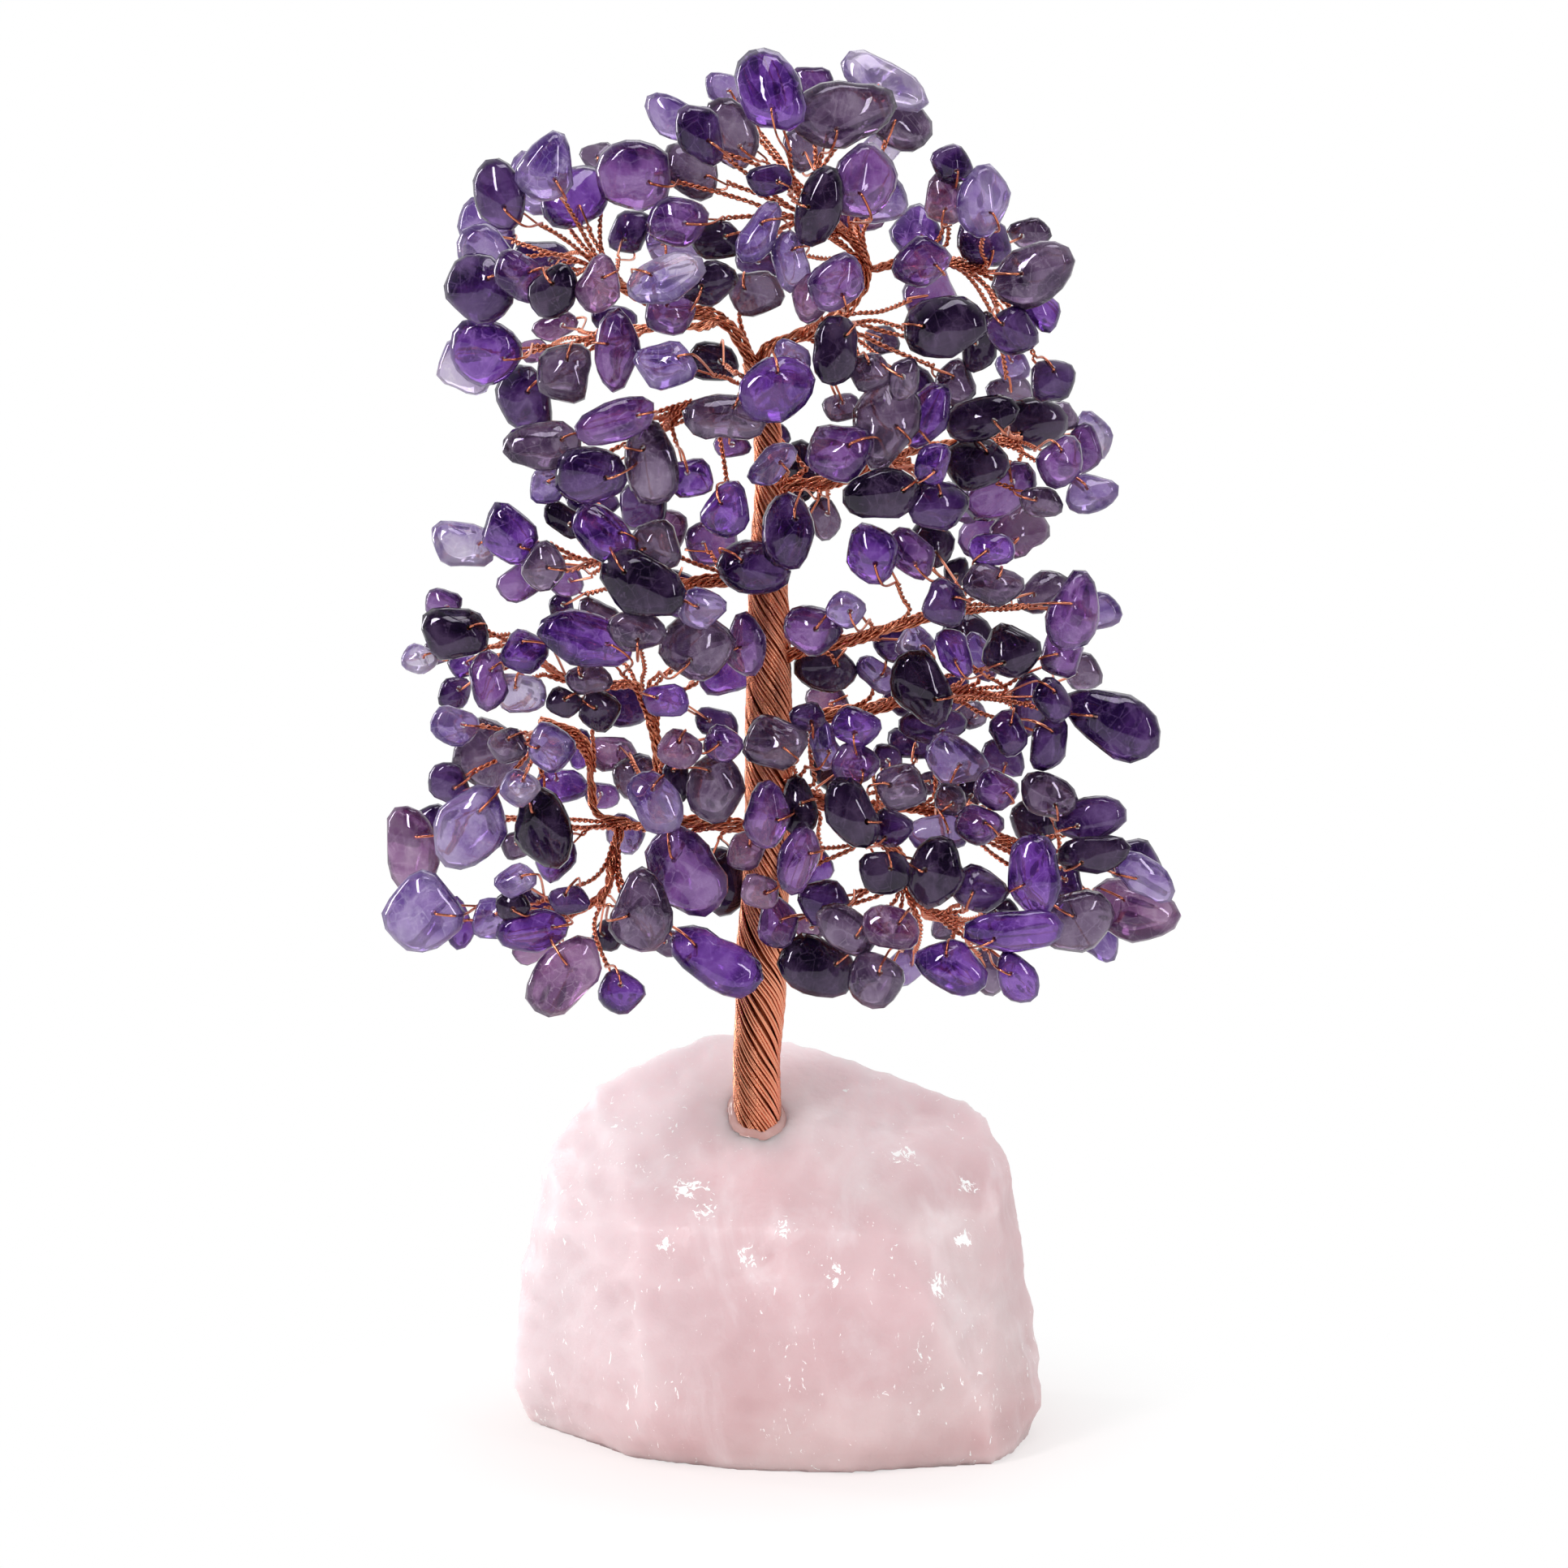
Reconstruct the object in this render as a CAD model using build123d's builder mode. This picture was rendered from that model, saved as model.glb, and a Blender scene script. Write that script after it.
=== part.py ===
from build123d import *
import math
import os

import numpy as np
from scipy.spatial import ConvexHull

os.makedirs("parts", exist_ok=True)

# Gemstone tree: a rough rose quartz base, a trunk of many twisted copper wires glued into a
# drilled socket, boughs that fan out as bundles, and a twisted pair from each bundle that
# threads one drilled and tumbled amethyst chip. Millimetres, +Z up, front towards -Y. The
# origin lies on the resting face, under the trunk's foot.

# Driving sizes
TREE_HEIGHT = 220.0
ROCK_WIDTH = 86.0
ROCK_DEPTH = 66.0
ROCK_HEIGHT = 63.0
TRUNK_DIAMETER = 8.0
MAIN_BOUGH_DIAMETER = 2.9
SIDE_BOUGH_DIAMETER = 2.1
PAIR_DIAMETER = 0.8
CHIP_LENGTH = 9.0
SOCKET_DEPTH = 14.0

# Clearances and small sizes of the pieces named beside them
SOCKET_CLEARANCE = 0.6
FOOT_CLEARANCE = 1.5
HOLE_CLEARANCE = 0.2
SEAT_GAP = 0.12
CHIP_GAP = 0.25
WIRE_GAP = 0.15
PAIR_TAIL = 0.4
PAIR_LIFT = 0.8
HOLE_RIM = 0.12
GLUE_RIM = 2.6
GLUE_LIP = 0.5
GLUE_RISE = 1.6
GLUE_SINK = 5.0
CUT_OVERRUN = 1.0
THINNEST_CHIP = 2.6
THICKEST_CHIP = 5.6

# How the object is seen: places in the tables are thousandths of the tree's height, right of
# the trunk's foot and above the foot line, on a plane square to a sight line that falls a little
VIEW_DISTANCE = 1200.0
VIEW_FALL = 10.0
VIEW_MIDDLE_SHARES = (19.5, 470.8)
GROUND_SHARE = -22.1
UNIT = TREE_HEIGHT / 1000

# Chip readings: a chip of the usual length spans this many of the same thousandths
USUAL_CHIP_SHARE = 41
CHIP_UNIT = CHIP_LENGTH / USUAL_CHIP_SHARE
CHIP_THICKNESS_SHARE = 0.66
FAR_FACE_SHARE = 1.12
LARGE_CHIP_SHARE = 46
HOLE_REACH_SHARE = 0.5

# Outlines of the chips' near faces: five corners for a large one, four for a small one, as
# shares of half the length and half the width, counter-clockwise. The far face has its
# corners between them, so that the two together make a round outline.
LARGE_OUTLINE_SHARES = (
    ((1, -0.15), (0.5, 0.92), (-0.6, 1), (-1, -0.1), (-0.1, -1)),
    ((1, 0.2), (0.1, 1), (-0.85, 0.7), (-0.95, -0.5), (0.35, -1)),
    ((0.9, -0.6), (0.8, 0.75), (-0.35, 1), (-1, 0.1), (-0.5, -1)),
    ((1, 0.05), (-0.35, 0.95), (-1, 0.55), (-0.95, -0.6), (-0.2, -1)),
)
SMALL_OUTLINE_SHARES = (
    ((0.95, -0.45), (0.35, 1), (-1, 0.5), (-0.45, -1)),
    ((0.8, 0.8), (-0.75, 0.9), (-0.95, -0.6), (0.5, -1)),
    ((1, 0.1), (-0.4, 1), (-1, -0.3), (0.1, -1)),
    ((1, 0), (-0.6, 0.95), (-1, -0.2), (-0.35, -1)),
)
OVAL, LOPSIDED, BLOCK, DROP = range(4)

# The trunk's bundle: places right and up as above, depth behind the trunk's foot, and the
# share of the trunk's diameter
TRUNK_SHARES = (
    (-0.5, 273, 0, 0.97),
    (3, 318, 0, 1.04),
    (2, 345, 0, 1.02),
    (6, 392, 0, 0.97),
    (8.5, 451, 0, 0.99),
    (8.5, 512, 0, 0.98),
    (8.5, 569, 0, 0.9),
    (8, 628, 0, 0.8),
    (10, 687, 0, 0.66),
    (7, 735, 0, 0.58),
    (-2, 778, 0, 0.52),
)
TRUNK_SIDES = 12
BOUGH_SIDES = 6
PAIR_SIDES = 3

# The rock's corners as shares of its width, depth and height, from the trunk's foot
ROCK_SHARES = (
    (0.145, -0.4, 0), (-0.03, -0.375, 0), (-0.235, -0.26, 0), (-0.335, -0.06, 0),
    (-0.43, 0.08, 0), (0.44, -0.32, 0), (0.51, -0.05, 0), (0.465, 0.3, 0),
    (0.28, 0.5, 0), (-0.09, 0.54, 0), (-0.35, 0.36, 0),
    (0.16, -0.43, 0.1), (-0.2, -0.36, 0.16), (0.43, -0.35, 0.14), (0.535, -0.03, 0.1),
    (-0.465, 0.06, 0.13), (0.5, 0.3, 0.14), (0.28, 0.54, 0.12), (-0.13, 0.58, 0.16),
    (-0.42, 0.36, 0.14), (0.5, -0.06, 0.26), (-0.452, 0.03, 0.235), (0.495, 0, 0.53),
    (-0.43, 0.045, 0.5), (-0.13, 0.56, 0.4), (0.3, 0.54, 0.36), (0.49, 0.28, 0.42),
    (-0.42, 0.32, 0.36), (0.06, -0.4, 0.5), (-0.23, -0.33, 0.46), (0.31, -0.36, 0.44),
    (-0.22, -0.28, 0.6), (0.06, -0.34, 0.62), (0.3, -0.28, 0.58), (0.45, -0.12, 0.62),
    (-0.38, -0.1, 0.58), (-0.4, 0.09, 0.68), (-0.368, 0.12, 0.765), (-0.307, 0.15, 0.868),
    (-0.194, 0.21, 0.946), (-0.105, 0.24, 1), (0.046, 0.27, 0.968), (0.205, 0.24, 0.892),
    (0.34, 0.18, 0.828), (0.394, 0.15, 0.825), (0.422, 0.12, 0.795), (0.46, 0.06, 0.7),
    (-0.1, 0.36, 0.96), (0.1, 0.38, 0.92), (-0.16, 0.46, 0.84), (0.12, 0.48, 0.82),
    (0.34, 0.38, 0.72), (-0.32, 0.34, 0.74),
)
ROCK_TOP_SHARE = 0.79

# Each bough: what it grows from, its thickness, its path as (right, up, depth), and its chips
# as (right, up, length, width, tilt in degrees, form), those in front first
BOUGH_SHARES = {
    "centre_front": {
        "grows_from": "trunk", "main": False,
        "path": ((5, 748, 0), (0, 758, -28), (-10, 767, -58)),
        "front": (
            (15, 758, 50, 42, 20, LOPSIDED), (-66, 776, 42, 31, 0, OVAL),
            (26, 782, 32, 16, -40, OVAL), (-23, 737, 60, 28, -3, BLOCK),
        ),
        "behind": ((-18, 717, 28, 14, -3, OVAL), (-32, 778, 40, 24, -20, OVAL)),
    },
    "crown": {
        "grows_from": "trunk", "main": True,
        "path": ((-1, 770, 0), (6, 790, 0), (34, 798, 4), (66, 814, 8), (84, 846, 8), (62, 876, 4), (30, 890, 0)),
        "front": (
            (9, 974, 62, 40, -50, LOPSIDED), (63, 958, 78, 40, 8, OVAL), (92, 980, 66, 27, -28, OVAL),
            (-61, 954, 50, 24, -30, OVAL), (-41, 943, 46, 28, -60, BLOCK), (-18, 946, 54, 32, 105, BLOCK),
            (-90, 914, 50, 46, -20, BLOCK), (-49, 916, 46, 32, -45, OVAL), (-57, 880, 42, 37, 10, BLOCK),
            (9, 910, 36, 18, 5, OVAL), (47, 892, 54, 30, 75, OVAL), (79, 911, 52, 38, 75, LOPSIDED),
            (3, 875, 44, 20, 65, DROP), (-28, 866, 40, 25, 5, OVAL), (24, 852, 46, 22, 97, OVAL),
        ),
        "behind": (
            (102, 954, 56, 34, -50, OVAL), (42, 980, 34, 22, -10, OVAL), (-24, 978, 28, 20, -15, OVAL),
            (-6, 962, 24, 18, -45, OVAL), (90, 932, 40, 22, 40, OVAL), (76, 884, 36, 20, 0, OVAL),
            (0, 850, 34, 18, -30, OVAL),
        ),
    },
    "upper_left": {
        "grows_from": "trunk", "main": True,
        "path": ((-1, 770, 0), (-10, 790, -2), (-24, 811, -4), (-60, 816, -14), (-98, 829, -24), (-122, 858, -26)),
        "front": (
            (-187, 901, 51, 32, 105, OVAL), (-153, 922, 46, 38, 70, DROP), (-132, 898, 48, 38, 40, LOPSIDED),
            (-147, 830, 42, 32, 60, BLOCK), (-116, 837, 42, 30, 75, DROP), (-173, 840, 42, 30, -45, OVAL),
            (-203, 832, 48, 42, -50, BLOCK), (-197, 852, 50, 34, -55, OVAL), (-66, 838, 56, 26, 20, OVAL),
            (-34, 835, 38, 28, 30, OVAL), (-63, 814, 36, 30, 20, BLOCK),
        ),
        "behind": (
            (-163, 911, 52, 28, 115, OVAL), (-115, 927, 28, 20, 0, OVAL), (-197, 874, 46, 32, -45, OVAL),
            (-156, 854, 46, 20, -8, OVAL), (0, 829, 38, 30, 0, OVAL),
        ),
    },
    "mid_left": {
        "grows_from": "upper_left", "main": False,
        "path": ((-24, 811, -4), (-36, 803, 14), (-60, 803, 32), (-92, 803, 42), (-125, 793, 44)),
        "front": (
            (-139, 769, 42, 40, -60, BLOCK), (-197, 785, 50, 44, -30, LOPSIDED), (-101, 787, 54, 26, 92, OVAL),
            (-167, 746, 50, 36, -55, DROP),
        ),
        "behind": (
            (-211, 774, 46, 36, -45, OVAL), (-162, 786, 24, 16, 0, OVAL), (-146, 804, 34, 16, 20, OVAL),
            (-103, 810, 38, 18, 0, OVAL),
        ),
    },
    "lower_mid_left": {
        "grows_from": "trunk", "main": False,
        "path": ((6, 738, 0), (-14, 748, -14), (-45, 750, -32), (-72, 736, -44)),
        "front": (
            (-102, 734, 56, 24, 22, OVAL), (-78, 709, 50, 32, 97, DROP), (-121, 693, 50, 37, -5, OVAL),
            (-156, 716, 52, 28, 10, OVAL), (-153, 688, 26, 24, -20, OVAL), (-48, 693, 34, 27, -10, OVAL),
            (-22, 672, 40, 30, 75, DROP),
        ),
        "behind": ((-82, 674, 36, 32, 70, OVAL),),
    },
    "right_centre": {
        "grows_from": "crown", "main": False,
        "path": ((34, 798, 4), (46, 805, -20), (60, 811, -44)),
        "front": (
            (58, 837, 42, 34, 60, BLOCK), (39, 826, 34, 22, 100, OVAL), (137, 801, 56, 42, 15, OVAL),
            (57, 787, 52, 28, 85, BLOCK), (82, 770, 30, 25, 0, OVAL), (107, 766, 32, 20, 80, OVAL),
        ),
        "behind": (
            (126, 826, 44, 38, 100, OVAL), (92, 793, 24, 20, 0, OVAL), (162, 792, 44, 22, 80, OVAL),
            (145, 763, 34, 24, 100, OVAL), (62, 745, 28, 18, 0, OVAL),
        ),
    },
    "right_upper": {
        "grows_from": "crown", "main": False,
        "path": ((84, 846, 8), (104, 850, 14), (136, 854, 22), (168, 842, 26)),
        "front": (
            (141, 922, 30, 27, 0, OVAL), (136, 897, 36, 28, 110, BLOCK), (164, 897, 48, 32, 85, LOPSIDED),
            (167, 866, 46, 32, -20, OVAL), (207, 847, 60, 36, 35, DROP), (120, 850, 40, 32, 30, OVAL),
            (206, 816, 34, 22, -50, OVAL), (187, 800, 38, 34, -30, BLOCK), (216, 765, 34, 32, 30, BLOCK),
        ),
        "behind": (
            (198, 872, 30, 20, 5, OVAL), (116, 872, 44, 34, 110, OVAL), (186, 775, 26, 22, 0, OVAL),
            (184, 756, 32, 22, 0, OVAL),
        ),
    },
    "right_mid": {
        "grows_from": "trunk", "main": True,
        "path": ((9, 684, 0), (28, 690, -10), (55, 689, -22), (85, 703, -30), (112, 706, -34)),
        "front": (
            (61, 711, 46, 36, -10, LOPSIDED), (11, 704, 42, 20, 42, OVAL), (24, 655, 54, 34, 100, OVAL),
            (92, 730, 58, 40, -105, DROP), (91, 681, 50, 32, 10, LOPSIDED), (125, 740, 48, 24, 60, OVAL),
            (127, 704, 32, 22, 60, OVAL), (132, 674, 42, 32, 10, BLOCK),
        ),
        "behind": (
            (31, 699, 42, 24, 100, OVAL), (48, 665, 30, 20, 105, OVAL), (12, 724, 24, 16, 0, OVAL),
        ),
    },
    "right_mid_outer": {
        "grows_from": "right_mid", "main": False,
        "path": ((85, 703, -30), (104, 712, -10), (132, 718, 12), (162, 720, 26), (193, 722, 30)),
        "front": (
            (164, 736, 50, 26, 15, OVAL), (202, 732, 48, 34, -10, OVAL), (161, 704, 44, 34, 0, OVAL),
            (178, 683, 56, 30, 30, OVAL), (221, 706, 38, 30, 60, BLOCK), (245, 682, 38, 27, 10, BLOCK),
            (207, 676, 32, 20, -10, OVAL),
        ),
        "behind": ((238, 716, 40, 22, 95, OVAL), (245, 725, 36, 24, -60, OVAL), (222, 738, 26, 22, 0, OVAL)),
    },
    "left": {
        "grows_from": "trunk", "main": True,
        "path": ((8, 612, 0), (-15, 618, -12), (-36, 619, -22), (-62, 614, -26), (-93, 638, -28)),
        "front": (
            (-2, 628, 50, 36, -3, BLOCK), (-84, 614, 60, 36, -28, OVAL), (-39, 599, 34, 30, 0, BLOCK),
            (-111, 652, 48, 30, -40, LOPSIDED), (-72, 644, 38, 32, -40, BLOCK), (-141, 663, 34, 18, -42, OVAL),
            (-156, 630, 36, 31, 80, BLOCK), (-180, 651, 46, 34, -50, OVAL), (-214, 645, 46, 32, -15, OVAL),
        ),
        "behind": (
            (-171, 619, 42, 24, 20, OVAL), (-139, 618, 26, 24, 0, OVAL), (-120, 676, 40, 16, -3, OVAL),
            (-143, 600, 24, 18, 90, OVAL),
        ),
    },
    "right_low": {
        "grows_from": "trunk", "main": True,
        "path": ((9, 560, 0), (35, 569, -12), (66, 575, -24), (95, 583, -32), (123, 592, -36), (152, 602, -34)),
        "front": (
            (40, 584, 42, 38, 0, BLOCK), (50, 556, 46, 34, -10, BLOCK), (82, 640, 42, 36, 100, BLOCK),
            (113, 637, 42, 26, -45, OVAL), (172, 616, 46, 26, 0, BLOCK), (172, 641, 36, 20, -10, OVAL),
            (232, 601, 56, 30, 75, DROP), (137, 602, 34, 30, -40, OVAL), (66, 598, 28, 26, 0, BLOCK),
        ),
        "behind": (
            (127, 645, 36, 30, -45, OVAL), (173, 650, 50, 34, 0, OVAL), (145, 625, 24, 18, 80, OVAL),
            (208, 611, 40, 22, 35, OVAL), (249, 597, 32, 26, 0, OVAL),
        ),
    },
    "right_side": {
        "grows_from": "trunk", "main": True,
        "path": ((9, 520, 0), (40, 519, 20), (74, 524, 36), (112, 533, 44), (150, 538, 44), (186, 533, 38)),
        "front": (
            (119, 539, 52, 32, -60, OVAL), (115, 571, 28, 24, -60, OVAL), (144, 566, 38, 24, -65, BLOCK),
            (162, 563, 38, 20, -55, OVAL), (186, 568, 40, 38, 0, BLOCK), (221, 566, 36, 30, 100, BLOCK),
            (216, 530, 36, 22, -70, OVAL), (198, 530, 44, 22, 95, OVAL), (255, 517, 66, 34, 152, DROP),
            (183, 507, 34, 24, -75, OVAL), (212, 501, 40, 24, 75, OVAL), (86, 551, 34, 18, -40, OVAL),
            (51, 531, 32, 20, -10, OVAL),
        ),
        "behind": (
            (141, 537, 34, 20, 60, OVAL), (103, 532, 26, 20, -60, OVAL), (237, 553, 30, 28, 0, OVAL),
            (156, 521, 24, 20, 0, OVAL),
        ),
    },
    "left_lower": {
        "grows_from": "trunk", "main": True,
        "path": ((7, 440, 0), (-35, 443, -14), (-62, 442, -20), (-74, 466, -24), (-71, 496, -26), (-86, 543, -26)),
        "front": (
            (-42, 569, 52, 42, 0, OVAL), (-8, 573, 44, 28, 95, BLOCK), (-86, 582, 40, 27, 0, OVAL),
            (-126, 576, 70, 32, -12, OVAL), (-66, 531, 36, 22, -10, OVAL), (-24, 500, 28, 27, 0, BLOCK),
            (-55, 496, 32, 26, 0, BLOCK), (-58, 474, 38, 18, -80, OVAL), (-29, 468, 48, 38, 90, OVAL),
            (-73, 455, 50, 30, -55, LOPSIDED), (-53, 404, 66, 44, -55, OVAL),
        ),
        "behind": (
            (-29, 515, 32, 20, -20, OVAL), (-88, 475, 34, 32, 0, OVAL), (-104, 492, 40, 24, -10, OVAL),
            (-28, 398, 48, 36, -70, OVAL),
        ),
    },
    "left_outer": {
        "grows_from": "left_lower", "main": False,
        "path": ((-86, 543, -26), (-104, 543, -10), (-128, 542, 4), (-150, 552, 14), (-172, 582, 20)),
        "front": (
            (-219, 580, 46, 34, -10, OVAL), (-228, 602, 26, 22, 20, BLOCK), (-196, 547, 46, 22, 95, OVAL),
            (-169, 567, 33, 30, 0, BLOCK), (-170, 536, 38, 26, -15, OVAL), (-140, 530, 26, 20, 0, BLOCK),
            (-122, 547, 34, 18, 0, OVAL), (-114, 525, 30, 30, 0, BLOCK), (-245, 561, 26, 20, 0, BLOCK),
        ),
        "behind": ((-231, 567, 24, 18, 0, OVAL), (-213, 557, 24, 18, 0, OVAL), (-220, 537, 26, 20, 60, OVAL)),
    },
    "left_dense": {
        "grows_from": "left_lower", "main": False,
        "path": ((-62, 442, -20), (-78, 438, 4), (-98, 444, 24), (-120, 446, 32), (-121, 480, 36), (-125, 508, 38), (-158, 519, 38)),
        "front": (
            (-149, 497, 34, 36, 0, BLOCK), (-220, 514, 33, 26, 0, BLOCK), (-181, 498, 30, 24, 0, OVAL),
            (-156, 437, 56, 34, -70, OVAL), (-173, 468, 28, 26, 0, BLOCK), (-209, 440, 62, 46, 60, LOPSIDED),
            (-222, 468, 34, 24, -55, DROP), (-146, 417, 34, 26, 60, BLOCK), (-95, 435, 28, 30, 0, BLOCK),
            (-193, 490, 56, 46, -50, BLOCK),
        ),
        "behind": (
            (-141, 470, 40, 22, 0, OVAL), (-129, 497, 34, 16, 90, OVAL), (-112, 462, 28, 18, -20, OVAL),
            (-250, 424, 62, 32, 100, OVAL), (-236, 442, 40, 22, 15, OVAL), (-176, 425, 22, 20, 0, OVAL),
        ),
    },
    "left_bottom": {
        "grows_from": "left_dense", "main": False,
        "path": ((-98, 444, 24), (-106, 418, 10), (-107, 396, -6), (-126, 378, -20), (-152, 380, -28)),
        "front": (
            (-244, 382, 52, 48, 90, DROP), (-219, 370, 40, 20, 105, OVAL), (-176, 400, 32, 20, 20, OVAL),
            (-178, 383, 26, 18, 0, OVAL), (-162, 363, 52, 26, 10, OVAL), (-192, 373, 34, 26, 60, OVAL),
            (-142, 331, 64, 40, 40, BLOCK), (-98, 319, 33, 31, 0, BLOCK), (-84, 381, 52, 36, 80, DROP),
            (-30, 343, 76, 34, 145, BLOCK), (-136, 386, 28, 18, 0, OVAL),
        ),
        "behind": (
            (-162, 380, 36, 22, -40, OVAL), (-163, 350, 30, 18, 10, OVAL), (-108, 361, 26, 20, 50, OVAL),
            (-63, 356, 24, 18, 30, OVAL),
        ),
    },
    "right_lower": {
        "grows_from": "trunk", "main": True,
        "path": ((8, 474, 0), (28, 467, -10), (54, 453, -20), (88, 436, -28)),
        "front": (
            (6, 448, 46, 32, 90, BLOCK), (29, 456, 40, 22, 95, DROP), (13, 501, 46, 38, 10, BLOCK),
            (30, 418, 48, 26, 80, LOPSIDED), (68, 448, 50, 32, -60, OVAL), (73, 513, 34, 28, 0, BLOCK),
            (72, 487, 36, 28, 0, BLOCK), (105, 468, 34, 32, 0, OVAL), (98, 440, 30, 28, 0, BLOCK),
            (93, 405, 42, 28, -15, OVAL), (132, 407, 50, 34, 65, OVAL), (37, 520, 26, 20, 0, OVAL),
            (-8, 423, 32, 24, 60, OVAL), (49, 500, 38, 18, 105, OVAL), (2, 392, 30, 22, -30, OVAL),
        ),
        "behind": ((95, 490, 24, 16, -30, OVAL), (127, 472, 22, 16, 0, OVAL)),
    },
    "right_bottom": {
        "grows_from": "right_lower", "main": False,
        "path": ((88, 436, -28), (106, 420, -20), (108, 394, -20), (122, 376, -24), (148, 372, -30)),
        "front": (
            (203, 405, 56, 34, 90, BLOCK), (188, 363, 68, 24, 3, OVAL), (42, 337, 58, 38, -20, OVAL),
            (87, 329, 40, 38, 0, BLOCK), (138, 338, 48, 32, 160, DROP), (97, 366, 42, 28, -20, OVAL),
            (64, 364, 50, 26, -35, OVAL), (14, 370, 38, 26, 100, BLOCK), (187, 333, 40, 26, 120, DROP),
            (49, 384, 36, 32, 0, OVAL), (163, 395, 44, 32, 0, BLOCK),
        ),
        "behind": (
            (109, 338, 34, 22, 30, OVAL), (168, 333, 34, 28, -60, OVAL), (38, 366, 24, 16, -10, OVAL),
            (177, 378, 30, 18, 0, OVAL), (137, 368, 24, 18, 60, OVAL),
        ),
    },
    "right_outer": {
        "grows_from": "right_lower", "main": False,
        "path": ((54, 453, -20), (78, 456, 2), (104, 454, 20), (136, 450, 30), (180, 430, 32), (218, 404, 28)),
        "front": (
            (147, 487, 44, 30, -15, DROP), (213, 463, 44, 30, -20, OVAL), (162, 441, 32, 30, 0, BLOCK),
            (141, 460, 24, 22, -30, OVAL), (174, 467, 30, 28, 0, BLOCK), (243, 445, 48, 26, 10, OVAL),
            (203, 443, 36, 34, 0, OVAL), (132, 435, 44, 22, 0, OVAL), (246, 419, 50, 22, 10, OVAL),
            (282, 402, 50, 22, -35, OVAL), (281, 378, 60, 38, -15, DROP), (235, 370, 54, 42, 20, OVAL),
            (227, 399, 26, 18, 90, OVAL),
        ),
        "behind": (
            (154, 465, 24, 20, 0, OVAL), (128, 512, 52, 20, 10, OVAL), (112, 500, 36, 20, -20, OVAL),
            (178, 490, 36, 20, -30, OVAL), (249, 356, 32, 24, -40, OVAL),
        ),
    },
}

# Chips on the far side, which the front view hides: how many each bough carries there, the
# sizes that they take in turn, and how far out they stand
FAR_COUNTS = {"crown": 2, "upper_left": 2, "right_mid": 2, "left": 3, "right_low": 2, "right_side": 1}
FAR_COUNTS.update({"left_lower": 2, "right_lower": 2, "left_dense": 1, "right_outer": 1})
FAR_SIZE_SHARES = ((42, 32), (36, 26), (44, 30), (34, 28), (40, 24))
FAR_REACH_SHARE = 85
GOLDEN_ANGLE = 137.5

# How far in front of and behind its bough a chip may stand, and how the search steps
SPRAY_REACH_SHARE = 112
FRONT_REACH_SHARE = 0.78
BEHIND_REACH_SHARE = 0.88
LEAST_REACH_SHARE = 0.2
SEARCH_STEP = 0.7
SEARCH_STEPS = 60
FOOT_SPACING = 1.4
SAMPLE_SPACING = 0.45
FACE_COSINE = 0.999
PARALLEL_SHARE = 1e-6
BACKTRACK_SHARE = 0.3
WIDE_ANGLE_COST = 12.0
LEAN_ALONG = 20.0
LEAN_ACROSS = 14.0


hole_width = PAIR_DIAMETER + HOLE_CLEARANCE
pair_radius = PAIR_DIAMETER / 2


def lengthwise(vector):
    """A vector's direction, with a length of one."""
    return vector / np.linalg.norm(vector)


fall = math.radians(VIEW_FALL)
SIDE = np.array((1.0, 0.0, 0.0))
RISE = np.array((0.0, math.sin(fall), math.cos(fall)))
SIGHT = np.array((0.0, math.cos(fall), -math.sin(fall)))
aim_height = (VIEW_MIDDLE_SHARES[1] - GROUND_SHARE) * UNIT * math.cos(fall)
AIM = np.array((VIEW_MIDDLE_SHARES[0] * UNIT, 0.0, aim_height))
EYE = AIM - SIGHT * VIEW_DISTANCE


def seen(right_share, up_share, depth):
    """The point at a depth behind the trunk that is seen at a place of the tables."""
    on_plane = AIM + SIDE * (right_share - VIEW_MIDDLE_SHARES[0]) * UNIT
    on_plane = on_plane + RISE * (up_share - VIEW_MIDDLE_SHARES[1]) * UNIT
    ray = on_plane - EYE
    return EYE + ray * (depth - EYE[1]) / ray[1]


# Base: a rough block with a flat underside, drilled for the trunk
rock_top = ROCK_TOP_SHARE * ROCK_HEIGHT
socket_floor = rock_top - SOCKET_DEPTH
socket_radius = TRUNK_DIAMETER / 2 + SOCKET_CLEARANCE
rock_corners = [(x * ROCK_WIDTH, y * ROCK_DEPTH, z * ROCK_HEIGHT) for x, y, z in ROCK_SHARES]

with BuildPart() as rose_quartz_base:
    ConvexPolyhedron(rock_corners)
    with BuildSketch(Plane.XY.offset(socket_floor)):
        RegularPolygon(radius=socket_radius, side_count=TRUNK_SIDES)
    extrude(amount=ROCK_HEIGHT, mode=Mode.SUBTRACT)
rose_quartz_base.part.label = "rose_quartz_base"

# Trunk: the bundle of all the wires, from inside the socket up to the first fork
trunk_foot = socket_floor + FOOT_CLEARANCE
trunk_rings = [(np.array((0.0, 0.0, trunk_foot)), TRUNK_DIAMETER / 2)]
trunk_rings.append((np.array((0.0, 0.0, rock_top)), TRUNK_DIAMETER / 2))
for right, up, depth, share in TRUNK_SHARES:
    trunk_rings.append((seen(right, up, depth * UNIT), share * TRUNK_DIAMETER / 2))


def ring_corners(centre, radius, sides):
    """Corners of a level ring of the trunk."""
    turns = [2 * math.pi * k / sides for k in range(sides)]
    return [(centre[0] + radius * math.cos(t), centre[1] + radius * math.sin(t), centre[2]) for t in turns]


with BuildPart() as trunk_bundle:
    for (low, low_radius), (high, high_radius) in zip(trunk_rings, trunk_rings[1:]):
        lower = ring_corners(low, low_radius, TRUNK_SIDES)
        ConvexPolyhedron(lower + ring_corners(high, high_radius, TRUNK_SIDES))
trunk_bundle.part.label = "trunk_bundle"

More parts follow.
